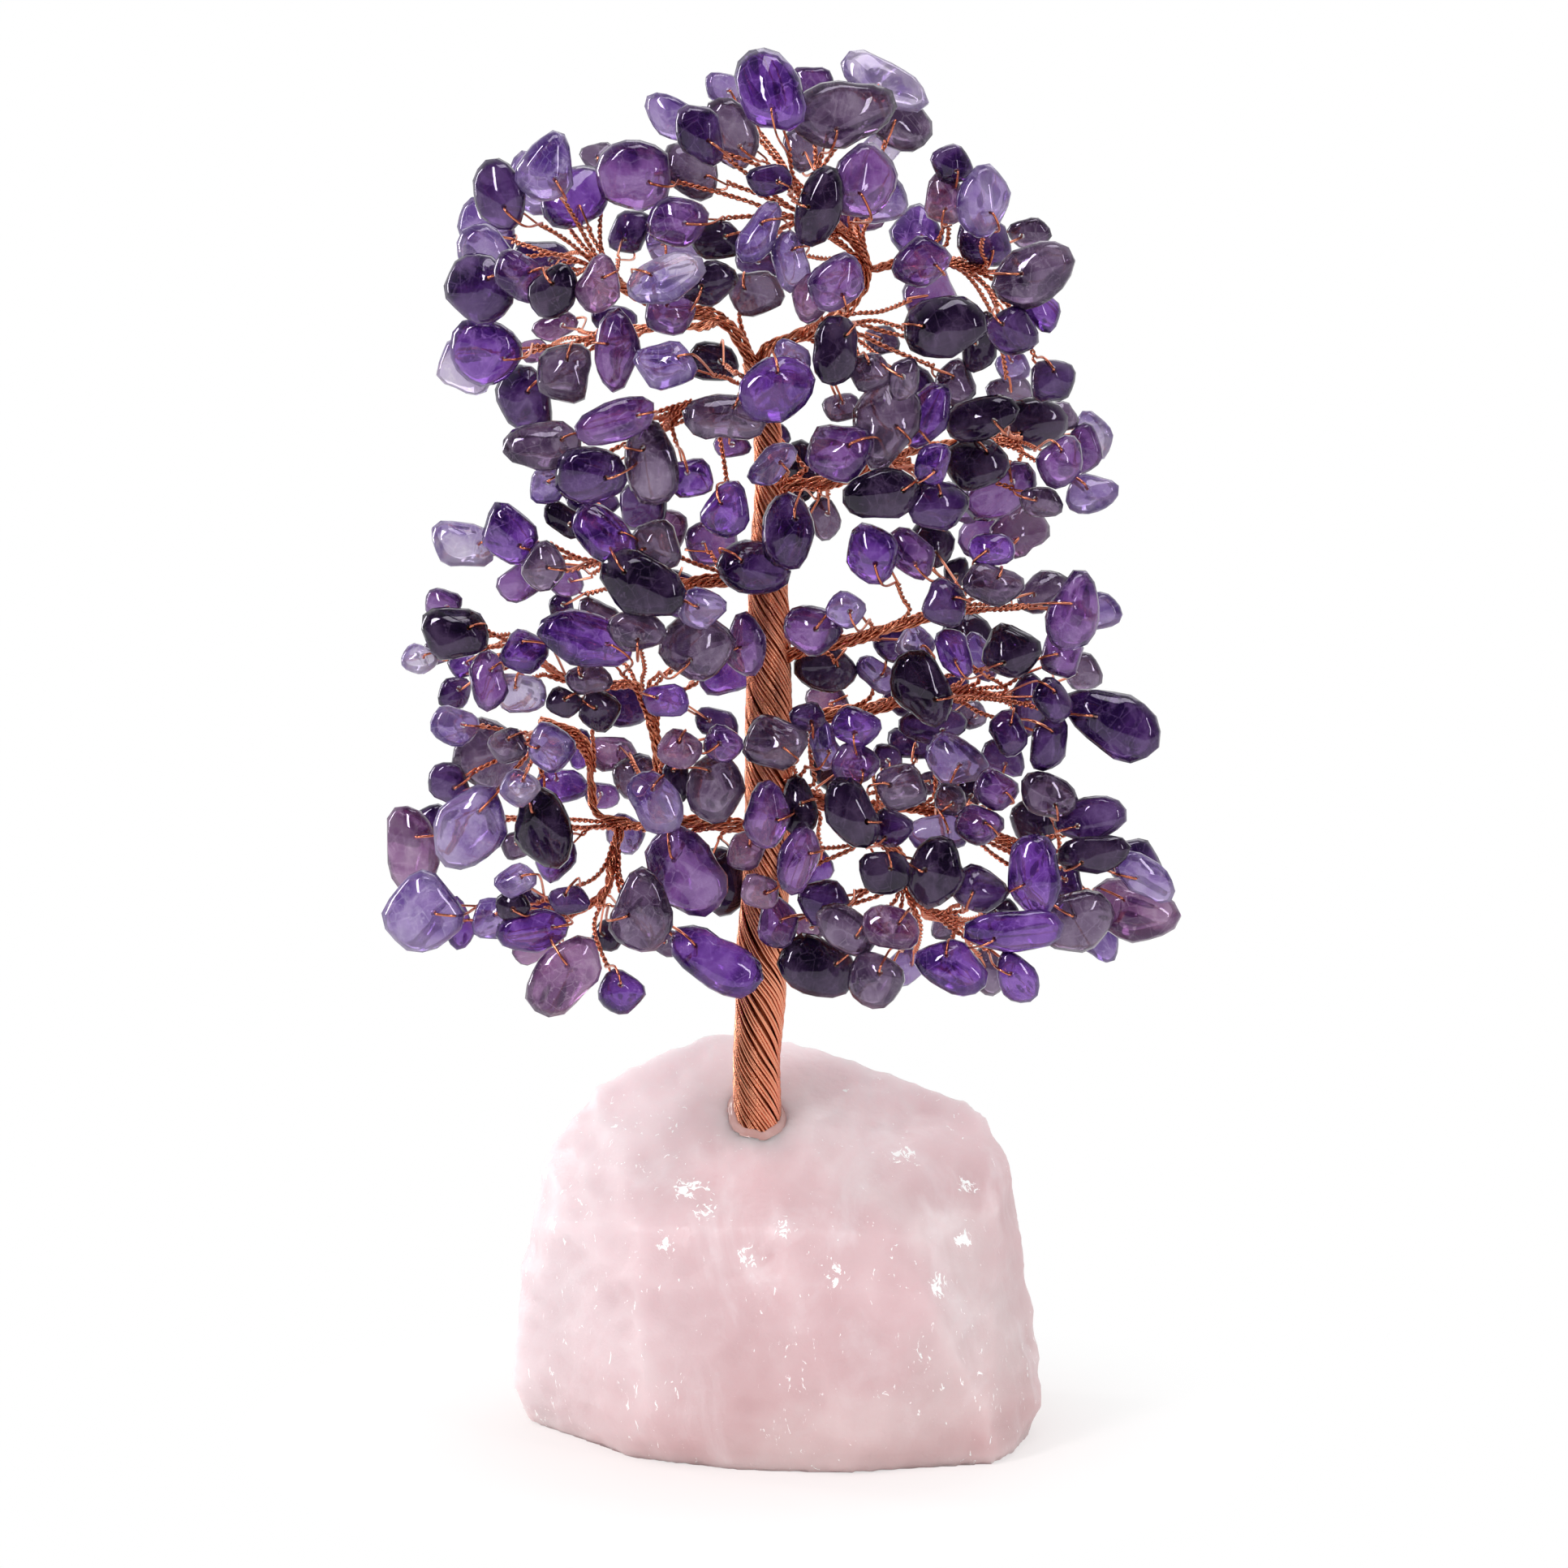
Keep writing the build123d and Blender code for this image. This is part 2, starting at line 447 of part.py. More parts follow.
# Glue: fills the socket round the trunk and stands up as a small collar on the rock
with BuildPart() as setting_glue:
    with BuildSketch(Plane.XY.offset(socket_floor)):
        RegularPolygon(radius=socket_radius, side_count=TRUNK_SIDES)
    extrude(amount=rock_top - socket_floor)
    collar_foot = np.array((0.0, 0.0, rock_top - GLUE_SINK))
    collar_top = np.array((0.0, 0.0, rock_top + GLUE_RISE))
    collar = ring_corners(collar_foot, TRUNK_DIAMETER / 2 + GLUE_RIM, TRUNK_SIDES)
    ConvexPolyhedron(collar + ring_corners(collar_top, TRUNK_DIAMETER / 2 + GLUE_LIP, TRUNK_SIDES))
    add(trunk_bundle.part, mode=Mode.SUBTRACT)
    add(rose_quartz_base.part, mode=Mode.SUBTRACT)
setting_glue.part.label = "setting_glue"

# Boughs: each bundle runs out from what it grows from, and is cut to meet it face to face
bough_parts = {}
bough_paths = {}
bough_radii = {}
for name, shares in BOUGH_SHARES.items():
    path_points = [seen(right, up, depth * UNIT) for right, up, depth in shares["path"]]
    bough_radius = (MAIN_BOUGH_DIAMETER if shares["main"] else SIDE_BOUGH_DIAMETER) / 2
    with BuildPart() as bough:
        with BuildLine() as bough_path:
            Polyline(*[tuple(point) for point in path_points])
        with BuildSketch(Plane(origin=bough_path.line @ 0, z_dir=bough_path.line % 0)):
            RegularPolygon(radius=bough_radius, side_count=BOUGH_SIDES)
        sweep(transition=Transition.RIGHT)
        add(trunk_bundle.part, mode=Mode.SUBTRACT)
        for earlier in bough_parts.values():
            add(earlier, mode=Mode.SUBTRACT)
    bough_parts[name] = bough.part
    bough_paths[name] = path_points
    bough_radii[name] = bough_radius
    bough.part.label = name + "_bough"


# What stands already, for the search for clear places: runs of bundles and pairs, and chips
run_starts = []
run_ends = []
run_radii = []
run_owners = []
placed_chips = []


def note_run(start, end, radius, owner):
    """Notes a straight run of a bundle or a pair, and which bough it is the wood of, if any."""
    run_starts.append(start)
    run_ends.append(end)
    run_radii.append(radius)
    run_owners.append(owner)


for (low, low_radius), (high, high_radius) in zip(trunk_rings, trunk_rings[1:]):
    note_run(low, high, max(low_radius, high_radius), "trunk")
for name, path_points in bough_paths.items():
    for start, end in zip(path_points, path_points[1:]):
        note_run(start, end, bough_radii[name], name)


def gaps_to_runs(start, end):
    """Clear distance from the middle line of one run to the surface of every run noted."""
    starts, ends, radii = np.array(run_starts), np.array(run_ends), np.array(run_radii)
    along, others, apart = end - start, ends - starts, start - starts
    a, e = along @ along, np.einsum("ij,ij->i", others, others)
    b, c, f = others @ along, apart @ along, np.einsum("ij,ij->i", others, apart)
    spread = a * e - b * b
    floor = PARALLEL_SHARE * a * e
    s = np.clip((b * f - c * e) / np.maximum(spread, floor), 0, 1)
    t = np.clip((b * s + f) / e, 0, 1)
    s = np.clip((b * t - c) / a, 0, 1)
    nearest = (start + s[:, None] * along) - (starts + t[:, None] * others)
    return np.linalg.norm(nearest, axis=1) - radii


def points_along(start, end):
    """Evenly spaced points of a run, both ends included."""
    count = max(2, math.ceil(np.linalg.norm(end - start) / SAMPLE_SPACING) + 1)
    return start + np.linspace(0, 1, count)[:, None] * (end - start)


class Chip:
    """A tumbled chip: the corners of its near face, with those of its far face between them."""

    def __init__(self, centre, axes, length, width, form):
        self.centre, self.axes = centre, axes
        thickness = width * CHIP_THICKNESS_SHARE
        self.half_thickness = min(max(thickness, THINNEST_CHIP), THICKEST_CHIP) / 2
        large = length > LARGE_CHIP_SHARE * CHIP_UNIT
        outlines = LARGE_OUTLINE_SHARES if large else SMALL_OUTLINE_SHARES
        self.outline = np.array(outlines[form]) * (length / 2, width / 2)
        self.radius = max(np.linalg.norm(self.outline, axis=1).max(), self.half_thickness)
        self.find_corners()
        self.find_walls()

    def at(self, along, across, up):
        """A point given by its place along the chip, across it and up from mid thickness."""
        return self.centre + self.axes[0] * along + self.axes[1] * across + self.axes[2] * up

    def find_corners(self):
        """Corners of the near face and the far face."""
        between = (self.outline + np.roll(self.outline, -1, axis=0)) / 2 * FAR_FACE_SHARE
        corners = [self.at(along, across, self.half_thickness) for along, across in self.outline]
        corners += [self.at(along, across, -self.half_thickness) for along, across in between]
        self.corners = np.array(corners)

    def find_walls(self):
        """Outward normals of the walls and faces, and how far out each lies."""
        walls = ConvexHull(self.corners).equations
        self.normals, self.offsets = walls[:, :3], -walls[:, 3]
        facing = np.abs(self.normals @ self.axes[2])
        self.is_wall = facing < FACE_COSINE

    def outside_by(self, points):
        """How far each point lies outside the chip, at least."""
        return (points @ self.normals.T - self.offsets).max(axis=1)

    def clears_chip(self, other):
        """Whether some wall, or the line of centres, keeps the two chips apart."""
        between = other.centre - self.centre
        distance = np.linalg.norm(between)
        if distance > self.radius + other.radius + CHIP_GAP:
            return True
        if distance < self.half_thickness:
            return False
        mine = (self.normals @ other.corners.T).min(axis=1) - self.offsets
        theirs = (other.normals @ self.corners.T).min(axis=1) - other.offsets
        line = between / distance
        middle = (other.corners @ line).min() - (self.corners @ line).max()
        return max(mine.max(), theirs.max(), middle) > CHIP_GAP

    def clears_runs(self):
        """Whether the chip stands clear of every bundle and pair noted."""
        starts, ends, radii = np.array(run_starts), np.array(run_ends), np.array(run_radii)
        along = ends - starts
        share = np.einsum("ij,ij->i", self.centre - starts, along) / np.einsum("ij,ij->i", along, along)
        nearest = starts + np.clip(share, 0, 1)[:, None] * along
        distance = np.linalg.norm(nearest - self.centre, axis=1)
        for k in np.nonzero(distance < self.radius + radii + WIRE_GAP)[0]:
            if self.outside_by(points_along(starts[k], ends[k])).min() < radii[k] + WIRE_GAP:
                return False
        return True

    def drill(self, towards):
        """Sets the drilled hole off the middle, towards what carries the chip."""
        pull = np.array((self.axes[0] @ towards, self.axes[1] @ towards))
        place = lengthwise(pull) * self.outline.max(axis=0) * HOLE_REACH_SHARE
        half = hole_width / 2
        for _ in range(SEARCH_STEPS):
            sides = (-half, half)
            levels = (-self.half_thickness, self.half_thickness)
            rim = [self.at(place[0] + i, place[1] + j, k) for i in sides for j in sides for k in levels]
            beyond = np.array(rim) @ self.normals[self.is_wall].T - self.offsets[self.is_wall]
            if beyond.max() < -HOLE_RIM:
                break
            place = place * (1 - LEAST_REACH_SHARE)
        self.hole = place


def foot_sites(name):
    """Places along the outer part of a bough, with the bough's direction and the way left to go."""
    path_points, sites, left = bough_paths[name], [], 0.0
    for start, end in zip(path_points[-2::-1], path_points[:0:-1]):
        length = np.linalg.norm(end - start)
        for k in range(int(length / FOOT_SPACING)):
            back = k * FOOT_SPACING
            sites.append((end - (end - start) * back / length, (end - start) / length, left + back))
        left += length
    return sites


def route_pair(chip, name):
    """The shortest clear way from the bough over the chip's rim and down through its hole."""
    options = []
    for side in (1, -1):
        for lifts in (1, 2, 3):
            level = side * (chip.half_thickness + lifts * PAIR_LIFT)
            bend = chip.at(chip.hole[0], chip.hole[1], level)
            tail = chip.at(chip.hole[0], chip.hole[1], -side * (chip.half_thickness + PAIR_TAIL))
            for site, outward, left in foot_sites(name):
                reach = bend - site
                length = np.linalg.norm(reach)
                forward = reach @ outward / length
                cost = length + left * BACKTRACK_SHARE + lifts * PAIR_LIFT
                cost += WIDE_ANGLE_COST if forward < 0 and left > 0 else 0
                options.append((cost, len(options), site, outward, bend, tail))
    for cost, _, site, outward, bend, tail in sorted(options, key=lambda option: option[:2]):
        reach = bend - site
        sideways = reach - outward * (reach @ outward)
        if np.linalg.norm(sideways) < bough_radii[name]:
            continue
        sideways = lengthwise(sideways)
        tip = abs(lengthwise(reach) @ outward) * pair_radius
        foot = site + sideways * (bough_radii[name] + tip + SEAT_GAP)
        if pair_is_clear(chip, name, foot, bend, tail):
            return foot, bend, tail
    return None


def pair_is_clear(chip, name, foot, bend, tail):
    """Whether a pair on this way touches no chip, bundle or other pair."""
    off_foot = foot + lengthwise(bend - foot) * min(FOOT_SPACING, np.linalg.norm(bend - foot) / 2)
    others = np.array([owner != name for owner in run_owners])
    if gaps_to_runs(foot, off_foot)[others].min() < pair_radius + WIRE_GAP:
        return False
    if min(gaps_to_runs(off_foot, bend).min(), gaps_to_runs(bend, tail).min()) < pair_radius + WIRE_GAP:
        return False
    line = points_along(foot, bend)
    if chip.outside_by(line).min() < pair_radius + WIRE_GAP / 2:
        return False
    line = np.vstack((line, points_along(bend, tail)))
    middle = line.mean(axis=0)
    span = np.linalg.norm(line - middle, axis=1).max() + pair_radius + WIRE_GAP
    for other in placed_chips:
        if np.linalg.norm(other.centre - middle) > other.radius + span:
            continue
        if other.outside_by(line).min() < pair_radius + WIRE_GAP:
            return False
    return True


chips_of = {name: [] for name in BOUGH_SHARES}
pairs_of = {name: [] for name in BOUGH_SHARES}


def leaning_axes(tilt, number, facing):
    """A chip's axes: tilted in the picture's plane, then leaned a little, differently each time."""
    turn = math.radians(tilt)
    length_axis = SIDE * math.cos(turn) + facing[1] * math.sin(turn)
    width_axis = facing[1] * math.cos(turn) - SIDE * math.sin(turn)
    phase = math.radians(number * GOLDEN_ANGLE)
    along = math.radians(LEAN_ALONG) * math.sin(phase)
    across = math.radians(LEAN_ACROSS) * math.cos(phase)
    face_axis = facing[0] + length_axis * math.sin(across) + width_axis * math.sin(along)
    face_axis = lengthwise(face_axis)
    length_axis = lengthwise(length_axis - face_axis * (length_axis @ face_axis))
    return np.array((length_axis, np.cross(face_axis, length_axis), face_axis))


def try_chip(name, chip):
    """Places a chip with its pair if both are clear."""
    if not all(chip.clears_chip(other) for other in placed_chips):
        return False
    if not chip.clears_runs():
        return False
    chip.drill(bough_paths[name][-1] - chip.centre)
    pair = route_pair(chip, name)
    if pair is None:
        return False
    placed_chips.append(chip)
    chips_of[name].append(chip)
    pairs_of[name].append(pair)
    note_run(pair[0], pair[1], pair_radius, "pair")
    note_run(pair[1], pair[2], pair_radius, "pair")
    return True


def place_seen_chip(name, row, behind):
    """Places a chip on its sight line, stepping away from the viewer until it is clear."""
    right, up, length, width, tilt, form = row
    hub = bough_paths[name][-1]
    across = np.linalg.norm((seen(right, up, hub[1]) - hub)[[0, 2]])
    reach = SPRAY_REACH_SHARE * UNIT
    stand_off = max(reach * reach - across * across, (LEAST_REACH_SHARE * reach) ** 2) ** 0.5
    depth = hub[1] + stand_off * (BEHIND_REACH_SHARE if behind else -FRONT_REACH_SHARE)
    axes = leaning_axes(tilt, len(placed_chips), (-SIGHT, RISE))
    for _ in range(SEARCH_STEPS):
        centre = seen(right, up, depth)
        if try_chip(name, Chip(centre, axes, length * CHIP_UNIT, width * CHIP_UNIT, form)):
            return
        depth += SEARCH_STEP
    print("no clear place for", name, row)


def place_far_chip(name, number):
    """Places a chip on the far side of its bough, turned to face away."""
    length, width = FAR_SIZE_SHARES[number % len(FAR_SIZE_SHARES)]
    hub = bough_paths[name][-1]
    for attempt in range(SEARCH_STEPS):
        turn = math.radians(GOLDEN_ANGLE) * (number + attempt)
        rise = math.sin(number + attempt)
        direction = np.array((math.cos(turn), 1 + abs(math.sin(turn)), rise))
        centre = hub + lengthwise(direction) * FAR_REACH_SHARE * UNIT
        axes = leaning_axes(math.degrees(turn), number, (-SIGHT, RISE))
        if try_chip(name, Chip(centre, axes, length * CHIP_UNIT, width * CHIP_UNIT, OVAL)):
            return
    print("no clear place for a far chip of", name)


for name, shares in BOUGH_SHARES.items():
    for row in shares["front"]:
        place_seen_chip(name, row, False)
for name, shares in BOUGH_SHARES.items():
    for row in shares["behind"]:
        place_seen_chip(name, row, True)
for name, count in FAR_COUNTS.items():
    for number in range(count):
        place_far_chip(name, number)


def chip_solid(chip):
    """One chip, drilled through its thickness."""
    face_plane = Plane(
        origin=tuple(chip.at(0, 0, -chip.half_thickness - CUT_OVERRUN)),
        x_dir=tuple(chip.axes[0]),
        z_dir=tuple(chip.axes[2]),
    )
    with BuildPart() as amethyst_chip:
        ConvexPolyhedron([tuple(corner) for corner in chip.corners])
        with BuildSketch(face_plane):
            with Locations(tuple(chip.hole)):
                Rectangle(hole_width, hole_width)
        extrude(amount=2 * (chip.half_thickness + CUT_OVERRUN), mode=Mode.SUBTRACT)
    return amethyst_chip.part.solid()


def pair_solid(pair):
    """One twisted pair, from its tail through the chip's hole back to its foot on the bough."""
    with BuildPart() as twisted_pair:
        with BuildLine() as pair_path:
            Polyline(*[tuple(point) for point in reversed(pair)])
        with BuildSketch(Plane(origin=pair_path.line @ 0, z_dir=pair_path.line % 0)):
            RegularPolygon(radius=pair_radius, side_count=PAIR_SIDES)
        sweep(transition=Transition.RIGHT)
    return twisted_pair.part.solid()


export_step(rose_quartz_base.part, "parts/rose_quartz_base.step")
export_step(trunk_bundle.part, "parts/trunk_bundle.step")
export_step(setting_glue.part, "parts/setting_glue.step")
for name in BOUGH_SHARES:
    chips = Compound(label=name + "_chips", children=[chip_solid(chip) for chip in chips_of[name]])
    pairs = Compound(label=name + "_wires", children=[pair_solid(pair) for pair in pairs_of[name]])
    export_step(bough_parts[name], "parts/" + name + "_bough.step")
    export_step(pairs, "parts/" + name + "_wires.step")
    export_step(chips, "parts/" + name + "_chips.step")

print("chips placed:", len(placed_chips))
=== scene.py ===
import math
import random

import bmesh
import bpy
import numpy as np
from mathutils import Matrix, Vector, kdtree, noise


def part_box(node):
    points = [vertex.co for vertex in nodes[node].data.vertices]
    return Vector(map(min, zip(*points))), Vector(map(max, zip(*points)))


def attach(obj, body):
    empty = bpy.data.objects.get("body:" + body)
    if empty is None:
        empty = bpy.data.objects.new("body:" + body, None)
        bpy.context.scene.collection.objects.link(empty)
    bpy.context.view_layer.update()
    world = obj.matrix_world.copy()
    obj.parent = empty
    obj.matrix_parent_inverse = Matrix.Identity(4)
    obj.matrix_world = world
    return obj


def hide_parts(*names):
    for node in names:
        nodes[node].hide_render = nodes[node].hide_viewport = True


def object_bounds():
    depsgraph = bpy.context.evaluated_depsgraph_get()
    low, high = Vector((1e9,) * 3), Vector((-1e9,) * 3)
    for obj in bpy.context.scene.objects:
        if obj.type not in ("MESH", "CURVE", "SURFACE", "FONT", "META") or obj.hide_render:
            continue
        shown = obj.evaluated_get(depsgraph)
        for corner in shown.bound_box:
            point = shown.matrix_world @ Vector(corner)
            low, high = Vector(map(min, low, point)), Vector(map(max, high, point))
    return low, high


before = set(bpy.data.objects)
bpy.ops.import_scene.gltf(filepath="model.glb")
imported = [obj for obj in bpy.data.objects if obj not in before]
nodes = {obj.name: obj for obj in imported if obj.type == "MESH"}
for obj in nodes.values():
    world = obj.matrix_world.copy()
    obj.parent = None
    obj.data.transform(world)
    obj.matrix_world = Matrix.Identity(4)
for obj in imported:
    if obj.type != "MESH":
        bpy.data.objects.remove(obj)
cad_low, cad_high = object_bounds()

# Gemstone tree: a rose quartz base, a trunk and boughs of twisted copper wires, and a drilled
# amethyst chip at the end of every twisted pair. Metres; the front faces -Y.
MM = 0.001
MERGE = 0.002 * MM
CAD_LOW, CAD_HIGH = np.array(cad_low), np.array(cad_high)

# The trunk: its strands, how they are laid and how unevenly. A strand's size is its radius.
TRUNK_SIDES = 12
RING_GRID = 0.05 * MM
RING_GAP = 0.04 * MM
TRUNK_STRANDS = 34
TRUNK_STRAND = 0.27 * MM
TRUNK_LAY = math.radians(36)
TRUNK_STEP = 1.3 * MM
TRUNK_SEED = 11
TRUNK_UNEVEN = 0.22
WANDER = 0.05
WANDER_TURNS = (6, 16)
STRAND_SINK = 0.6
CORE_INSET = 2.2
# How deep into the trunk the painted shade between its strands reaches
TRUNK_SHADE_DEPTH = TRUNK_STRAND * 3.2

# The boughs: how many twisted pairs a side bough and a main one have, and how these thin out
BOUGH_PAIRS = (3, 5)
MAIN_RADIUS = 1.3 * MM
SIDE_RADIUS = 0.95 * MM
BOUGH_STRAND = 0.22 * MM
BOUGH_LAY = math.radians(13)
BOUGH_PITCH = 5.0 * MM
BOUGH_STEP = 0.8 * MM
BOUGH_UNEVEN = 0.3
BOUGH_WAVES = (5, 11)
WAVE_OUT = 0.2
WAVE_ROUND = 0.3
THINNING = 0.7
THINNING_START = 0.3
THINNING_CURVE = 1.4
EARLY_END = 0.45
PITCH_SPREAD = (0.8, 1.2)

# The twisted pairs, how they bow, and how their strands part and go round a chip
PAIR_STRAND = 0.225 * MM
PAIR_PITCH = 2.2 * MM
PAIR_STEP = PAIR_PITCH / 6
LINE_ROUNDS = 3
PHASES = (0, 6)
LEAD_STEPS = (8, 3)
LEAD_LIFT = 0.7
EARLY_LIFT = 0.6
RUN_START = 0.15
PAIR_END_GAP = 1.1 * MM
FREE_RUN = 1.5
CLOSE_JOINT = 0.3
BOW_SHARES = (0.02, 0.12)
PARTING = 0.6
PARTING_DELAY = 11
LEG_SLACK = 3.0
LEG_SHARES = (0.8, 0.35)
LEG_LIFT = 1.4
RIM_LIFT = 2.6

# The chips' pattern, how it is fitted to a stone, and how worn and lumpy it is
PEBBLE_SIDES = 16
PEBBLE_STEPS = (1.0, 0.83, 0.14)
MOUTH_REACH = 0.2
RIM_REACH = 0.95
HOLE_RADIUS = 0.48 * MM
HOLE_DIP = 0.05 * MM
HOLE_SHARE = 0.01
RIM_EDGE = 0.22
# How much darker the painted shade at a chip's rim is
RIM_SHADE = 0.8
ALIKE = 0.9995
OUTLINE_STEPS = 48
OUTLINE_TURNS = np.arange(OUTLINE_STEPS + 1) * math.tau / OUTLINE_STEPS
OUTLINE_FILL = 1.09
WEAR_ROUNDS = 8
SEED_GRAIN = 1e6
DENT_DEPTHS = (0.16, 0.08)
DENT_PLACES = (0.35, 1.65)
DENT_WIDTHS = (0.35, 0.7)
STONE_FULLNESS = 0.97
CROWN_POWERS = (2.5, 0.4)
HALVINGS = 18
LUMP_FREQUENCY = 210
LUMP_SIZE = 0.16
# The way, down and towards the front, in which the painted glow inside each chip leans
GLOW_WAY = (0.5, -0.2, -0.7)

# The base's broken faces: swells, scars, the chipped foot and the grain
ROCK_VOXEL = 0.7 * MM
ROCK_WEAR = 3
ROCK_SWELL = (55, 1.0 * MM)
ROCK_SCARS = ((14 * MM, 1.0 * MM, 1.0), (5 * MM, 1.5 * MM, 0.3))
SCAR_LEVEL = 0.45
ROCK_FOOT = (3 * MM, 0.5 * MM)
ROCK_GRAIN = (420, 0.1 * MM)
ROCK_MARGIN = 0.05 * MM
DOWNWARD = -0.95
ROCK_CREASE = math.radians(38)
# Spots of painted white glints: places in the picture, and each one's reach in millimetres
GLINT_PLACES = (
    (-49, 176, 4.0), (-38, 160, 3.0), (107, 201, 3.5), (152, 178, 2.5), (57, 112, 3.0), (131, 107, 3.2),
    (-8, 128, 3.0), (-68, 140, 2.2), (150, 140, 2.2), (20, 150, 2.5), (-155, 190, 2.6), (-150, 150, 2.0),
)

# The bead of glue. Its section goes outward by a share of the bead's reach and by millimetres,
# and up by millimetres.
GLUE_STEPS = 40
GLUE_SEED = 3
GLUE_REACH = 0.8 * MM
GLUE_SWAY = 0.35
GLUE_ROUGH = 0.1
GLUE_WAVES = 1.7
GLUE_SECTION = (
    (0.0, -0.6, -2.0), (0.9, 0.0, -0.7), (1.0, 0.0, 0.02), (0.6, 0.0, 0.28), (0.22, 0.0, 0.62),
    (0.0, -0.1, 1.15), (0.0, -0.6, 1.0),
)

# The white room: its levels and colours, where they turn from near to far, and the lamps with
# their place, size and power
WORLD_LEVEL = 0.7
FLOOR_WHITE = 0.62
ROOM_LEVEL = 0.05
GLOSS_BACKDROP = 0.9
ROOM_TURN = (-0.3, 0.6)
# Near the object the paper is painted darker and pinker: painted shadow, and pink light painted as if
# thrown off the stone
PAINTED_SHADOW_TURN = (0.03, 0.075)
WHITE_TURN = (0.045, 0.085)
PAINTED_SHADOW_PAPER = (0.82, 0.68, 0.67)
FAR_PAPER = (0.86, 0.86, 0.86)
FLOOR_SIZE = 8.0
LAMP_AIM = Vector((0, 0, 0.11))
LAMPS = (
    ("key_lamp", (-0.75, -0.75, 1.0), (0.14, 0.75), 8.6),
    ("fill_lamp", (0.9, -0.8, 0.6), (0.1, 0.7), 2.6),
    ("top_lamp", (0.1, -0.1, 1.3), (0.9, 0.3), 4.0),
    ("back_lamp", (0.2, 0.9, 0.9), (0.8, 0.5), 2.0),
    ("rim_lamp", (-0.9, 0.4, 0.35), (0.15, 0.7), 4.0),
)

# The camera stands where the photograph was taken from. A place in the picture is written as
# thousandths of the tree's height: right of the trunk's foot, and above the foot line.
TREE_HEIGHT = 220 * MM
SHARE = TREE_HEIGHT / 1000
CAMERA_DISTANCE = 1200 * MM
CAMERA_FALL = math.radians(10)
CAMERA_LENS = 172.07
CAMERA_CLIP = (0.05, 20)
MIDDLE_RIGHT, MIDDLE_UP = 19.5, 470.8
GROUND_UP = -22.1
SIGHT = Vector((0, math.cos(CAMERA_FALL), -math.sin(CAMERA_FALL)))
RISE = Vector((0, math.sin(CAMERA_FALL), math.cos(CAMERA_FALL)))
AIM = Vector((MIDDLE_RIGHT * SHARE, 0, (MIDDLE_UP - GROUND_UP) * SHARE * math.cos(CAMERA_FALL)))
EYE = AIM - SIGHT * CAMERA_DISTANCE

BOUGHS = [name.removesuffix("_bough") for name in sorted(nodes) if name.endswith("_bough")]


def picture_place(point):
    """Where a point is seen, in thousandths of the tree's height, and how far away it is."""
    ray = Vector(point) - EYE
    depth = ray.dot(SIGHT)
    scale = CAMERA_DISTANCE / depth / SHARE
    return Vector((ray.x * scale + MIDDLE_RIGHT, ray.dot(RISE) * scale + MIDDLE_UP)), depth


def make_active(piece, *others):
    """Selects a piece, and any others that go with it, for an operator to act on."""
    for selected in bpy.context.selected_objects:
        selected.select_set(False)
    for chosen in (piece, *others):
        chosen.select_set(True)
    bpy.context.view_layer.objects.active = piece


def placed(name, data):
    """A new object in the scene."""
    piece = bpy.data.objects.new(name, data)
    bpy.context.scene.collection.objects.link(piece)
    return piece


def edit_whole(piece, operator, **settings):
    """Runs a mesh operator on the whole of a piece."""
    make_active(piece)
    bpy.ops.object.mode_set(mode="EDIT")
    bpy.ops.mesh.select_all(action="SELECT")
    operator(**settings)
    bpy.ops.object.mode_set(mode="OBJECT")


def finish_piece(piece, slot_name, *replaced):
    """Sets a finished piece on the body, in place of the CAD nodes that it stands for."""
    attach(piece, "root")
    if replaced:
        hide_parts(*replaced)


def unit(vector):
    """A direction with a length of one."""
    return vector / np.linalg.norm(vector)


def any_way(chance):
    """A chance direction, of any length."""
    return np.array([chance.uniform(-1, 1) for _ in range(3)])


def step_lengths(line):
    """How far each point of a line lies from the one before, with 0 for the first."""
    return np.concatenate(((0.0,), np.linalg.norm(np.diff(line, axis=0), axis=1)))


# Nodes and links of a material or a world


def node_adder(tree):
    """The function that adds a node to a tree, with its inputs linked or set."""

    def add(kind, inputs=None, **settings):
        node = tree.nodes.new(kind)
        for key, value in settings.items():
            setattr(node, key, value)
        for key, value in (inputs or {}).items():
            if isinstance(value, bpy.types.NodeSocket):
                tree.links.new(value, node.inputs[key])
            else:
                node.inputs[key].default_value = value
        return node

    return add


def new_material(name, constants):
    """A material with its shader's constants, and the functions that add a node and link one."""
    material = bpy.data.materials.new(name)
    material.use_nodes = True
    tree = material.node_tree
    inputs = tree.nodes["Principled BSDF"].inputs
    for key, value in constants.items():
        inputs[key].default_value = value

    def link(socket, key):
        tree.links.new(socket, inputs[key])

    return material, node_adder(tree), link


def worked(add, operation, *values):
    """What a math node makes of some sockets and numbers."""
    return add("ShaderNodeMath", dict(enumerate(values)), operation=operation).outputs[0]


def fade(add, value, low, high, at_low, at_high):
    """A share that goes from one level to another while a value goes from low to high."""
    return add("ShaderNodeMapRange", {"Value": value, 1: low, 2: high, 3: at_low, 4: at_high}).outputs[0]


def ramp(add, factor, *stops):
    """A colour ramp on a factor, with stops of (position, colour)."""
    node = add("ShaderNodeValToRGB", {"Fac": factor})
    elements = node.color_ramp.elements
    while len(elements) < len(stops):
        elements.new(1.0)
    for element, (position, colour) in zip(elements, stops):
        element.position = position
        element.color = (*colour, 1.0)
    return node.outputs["Color"]


def grey_ramp(add, factor, *stops):
    """A ramp of greys on a factor, with stops of (position, level)."""
    return ramp(add, factor, *((position, (level,) * 3) for position, level in stops))


def own_place(add):
    """The piece's own coordinates."""
    return add("ShaderNodeTexCoord").outputs["Object"]


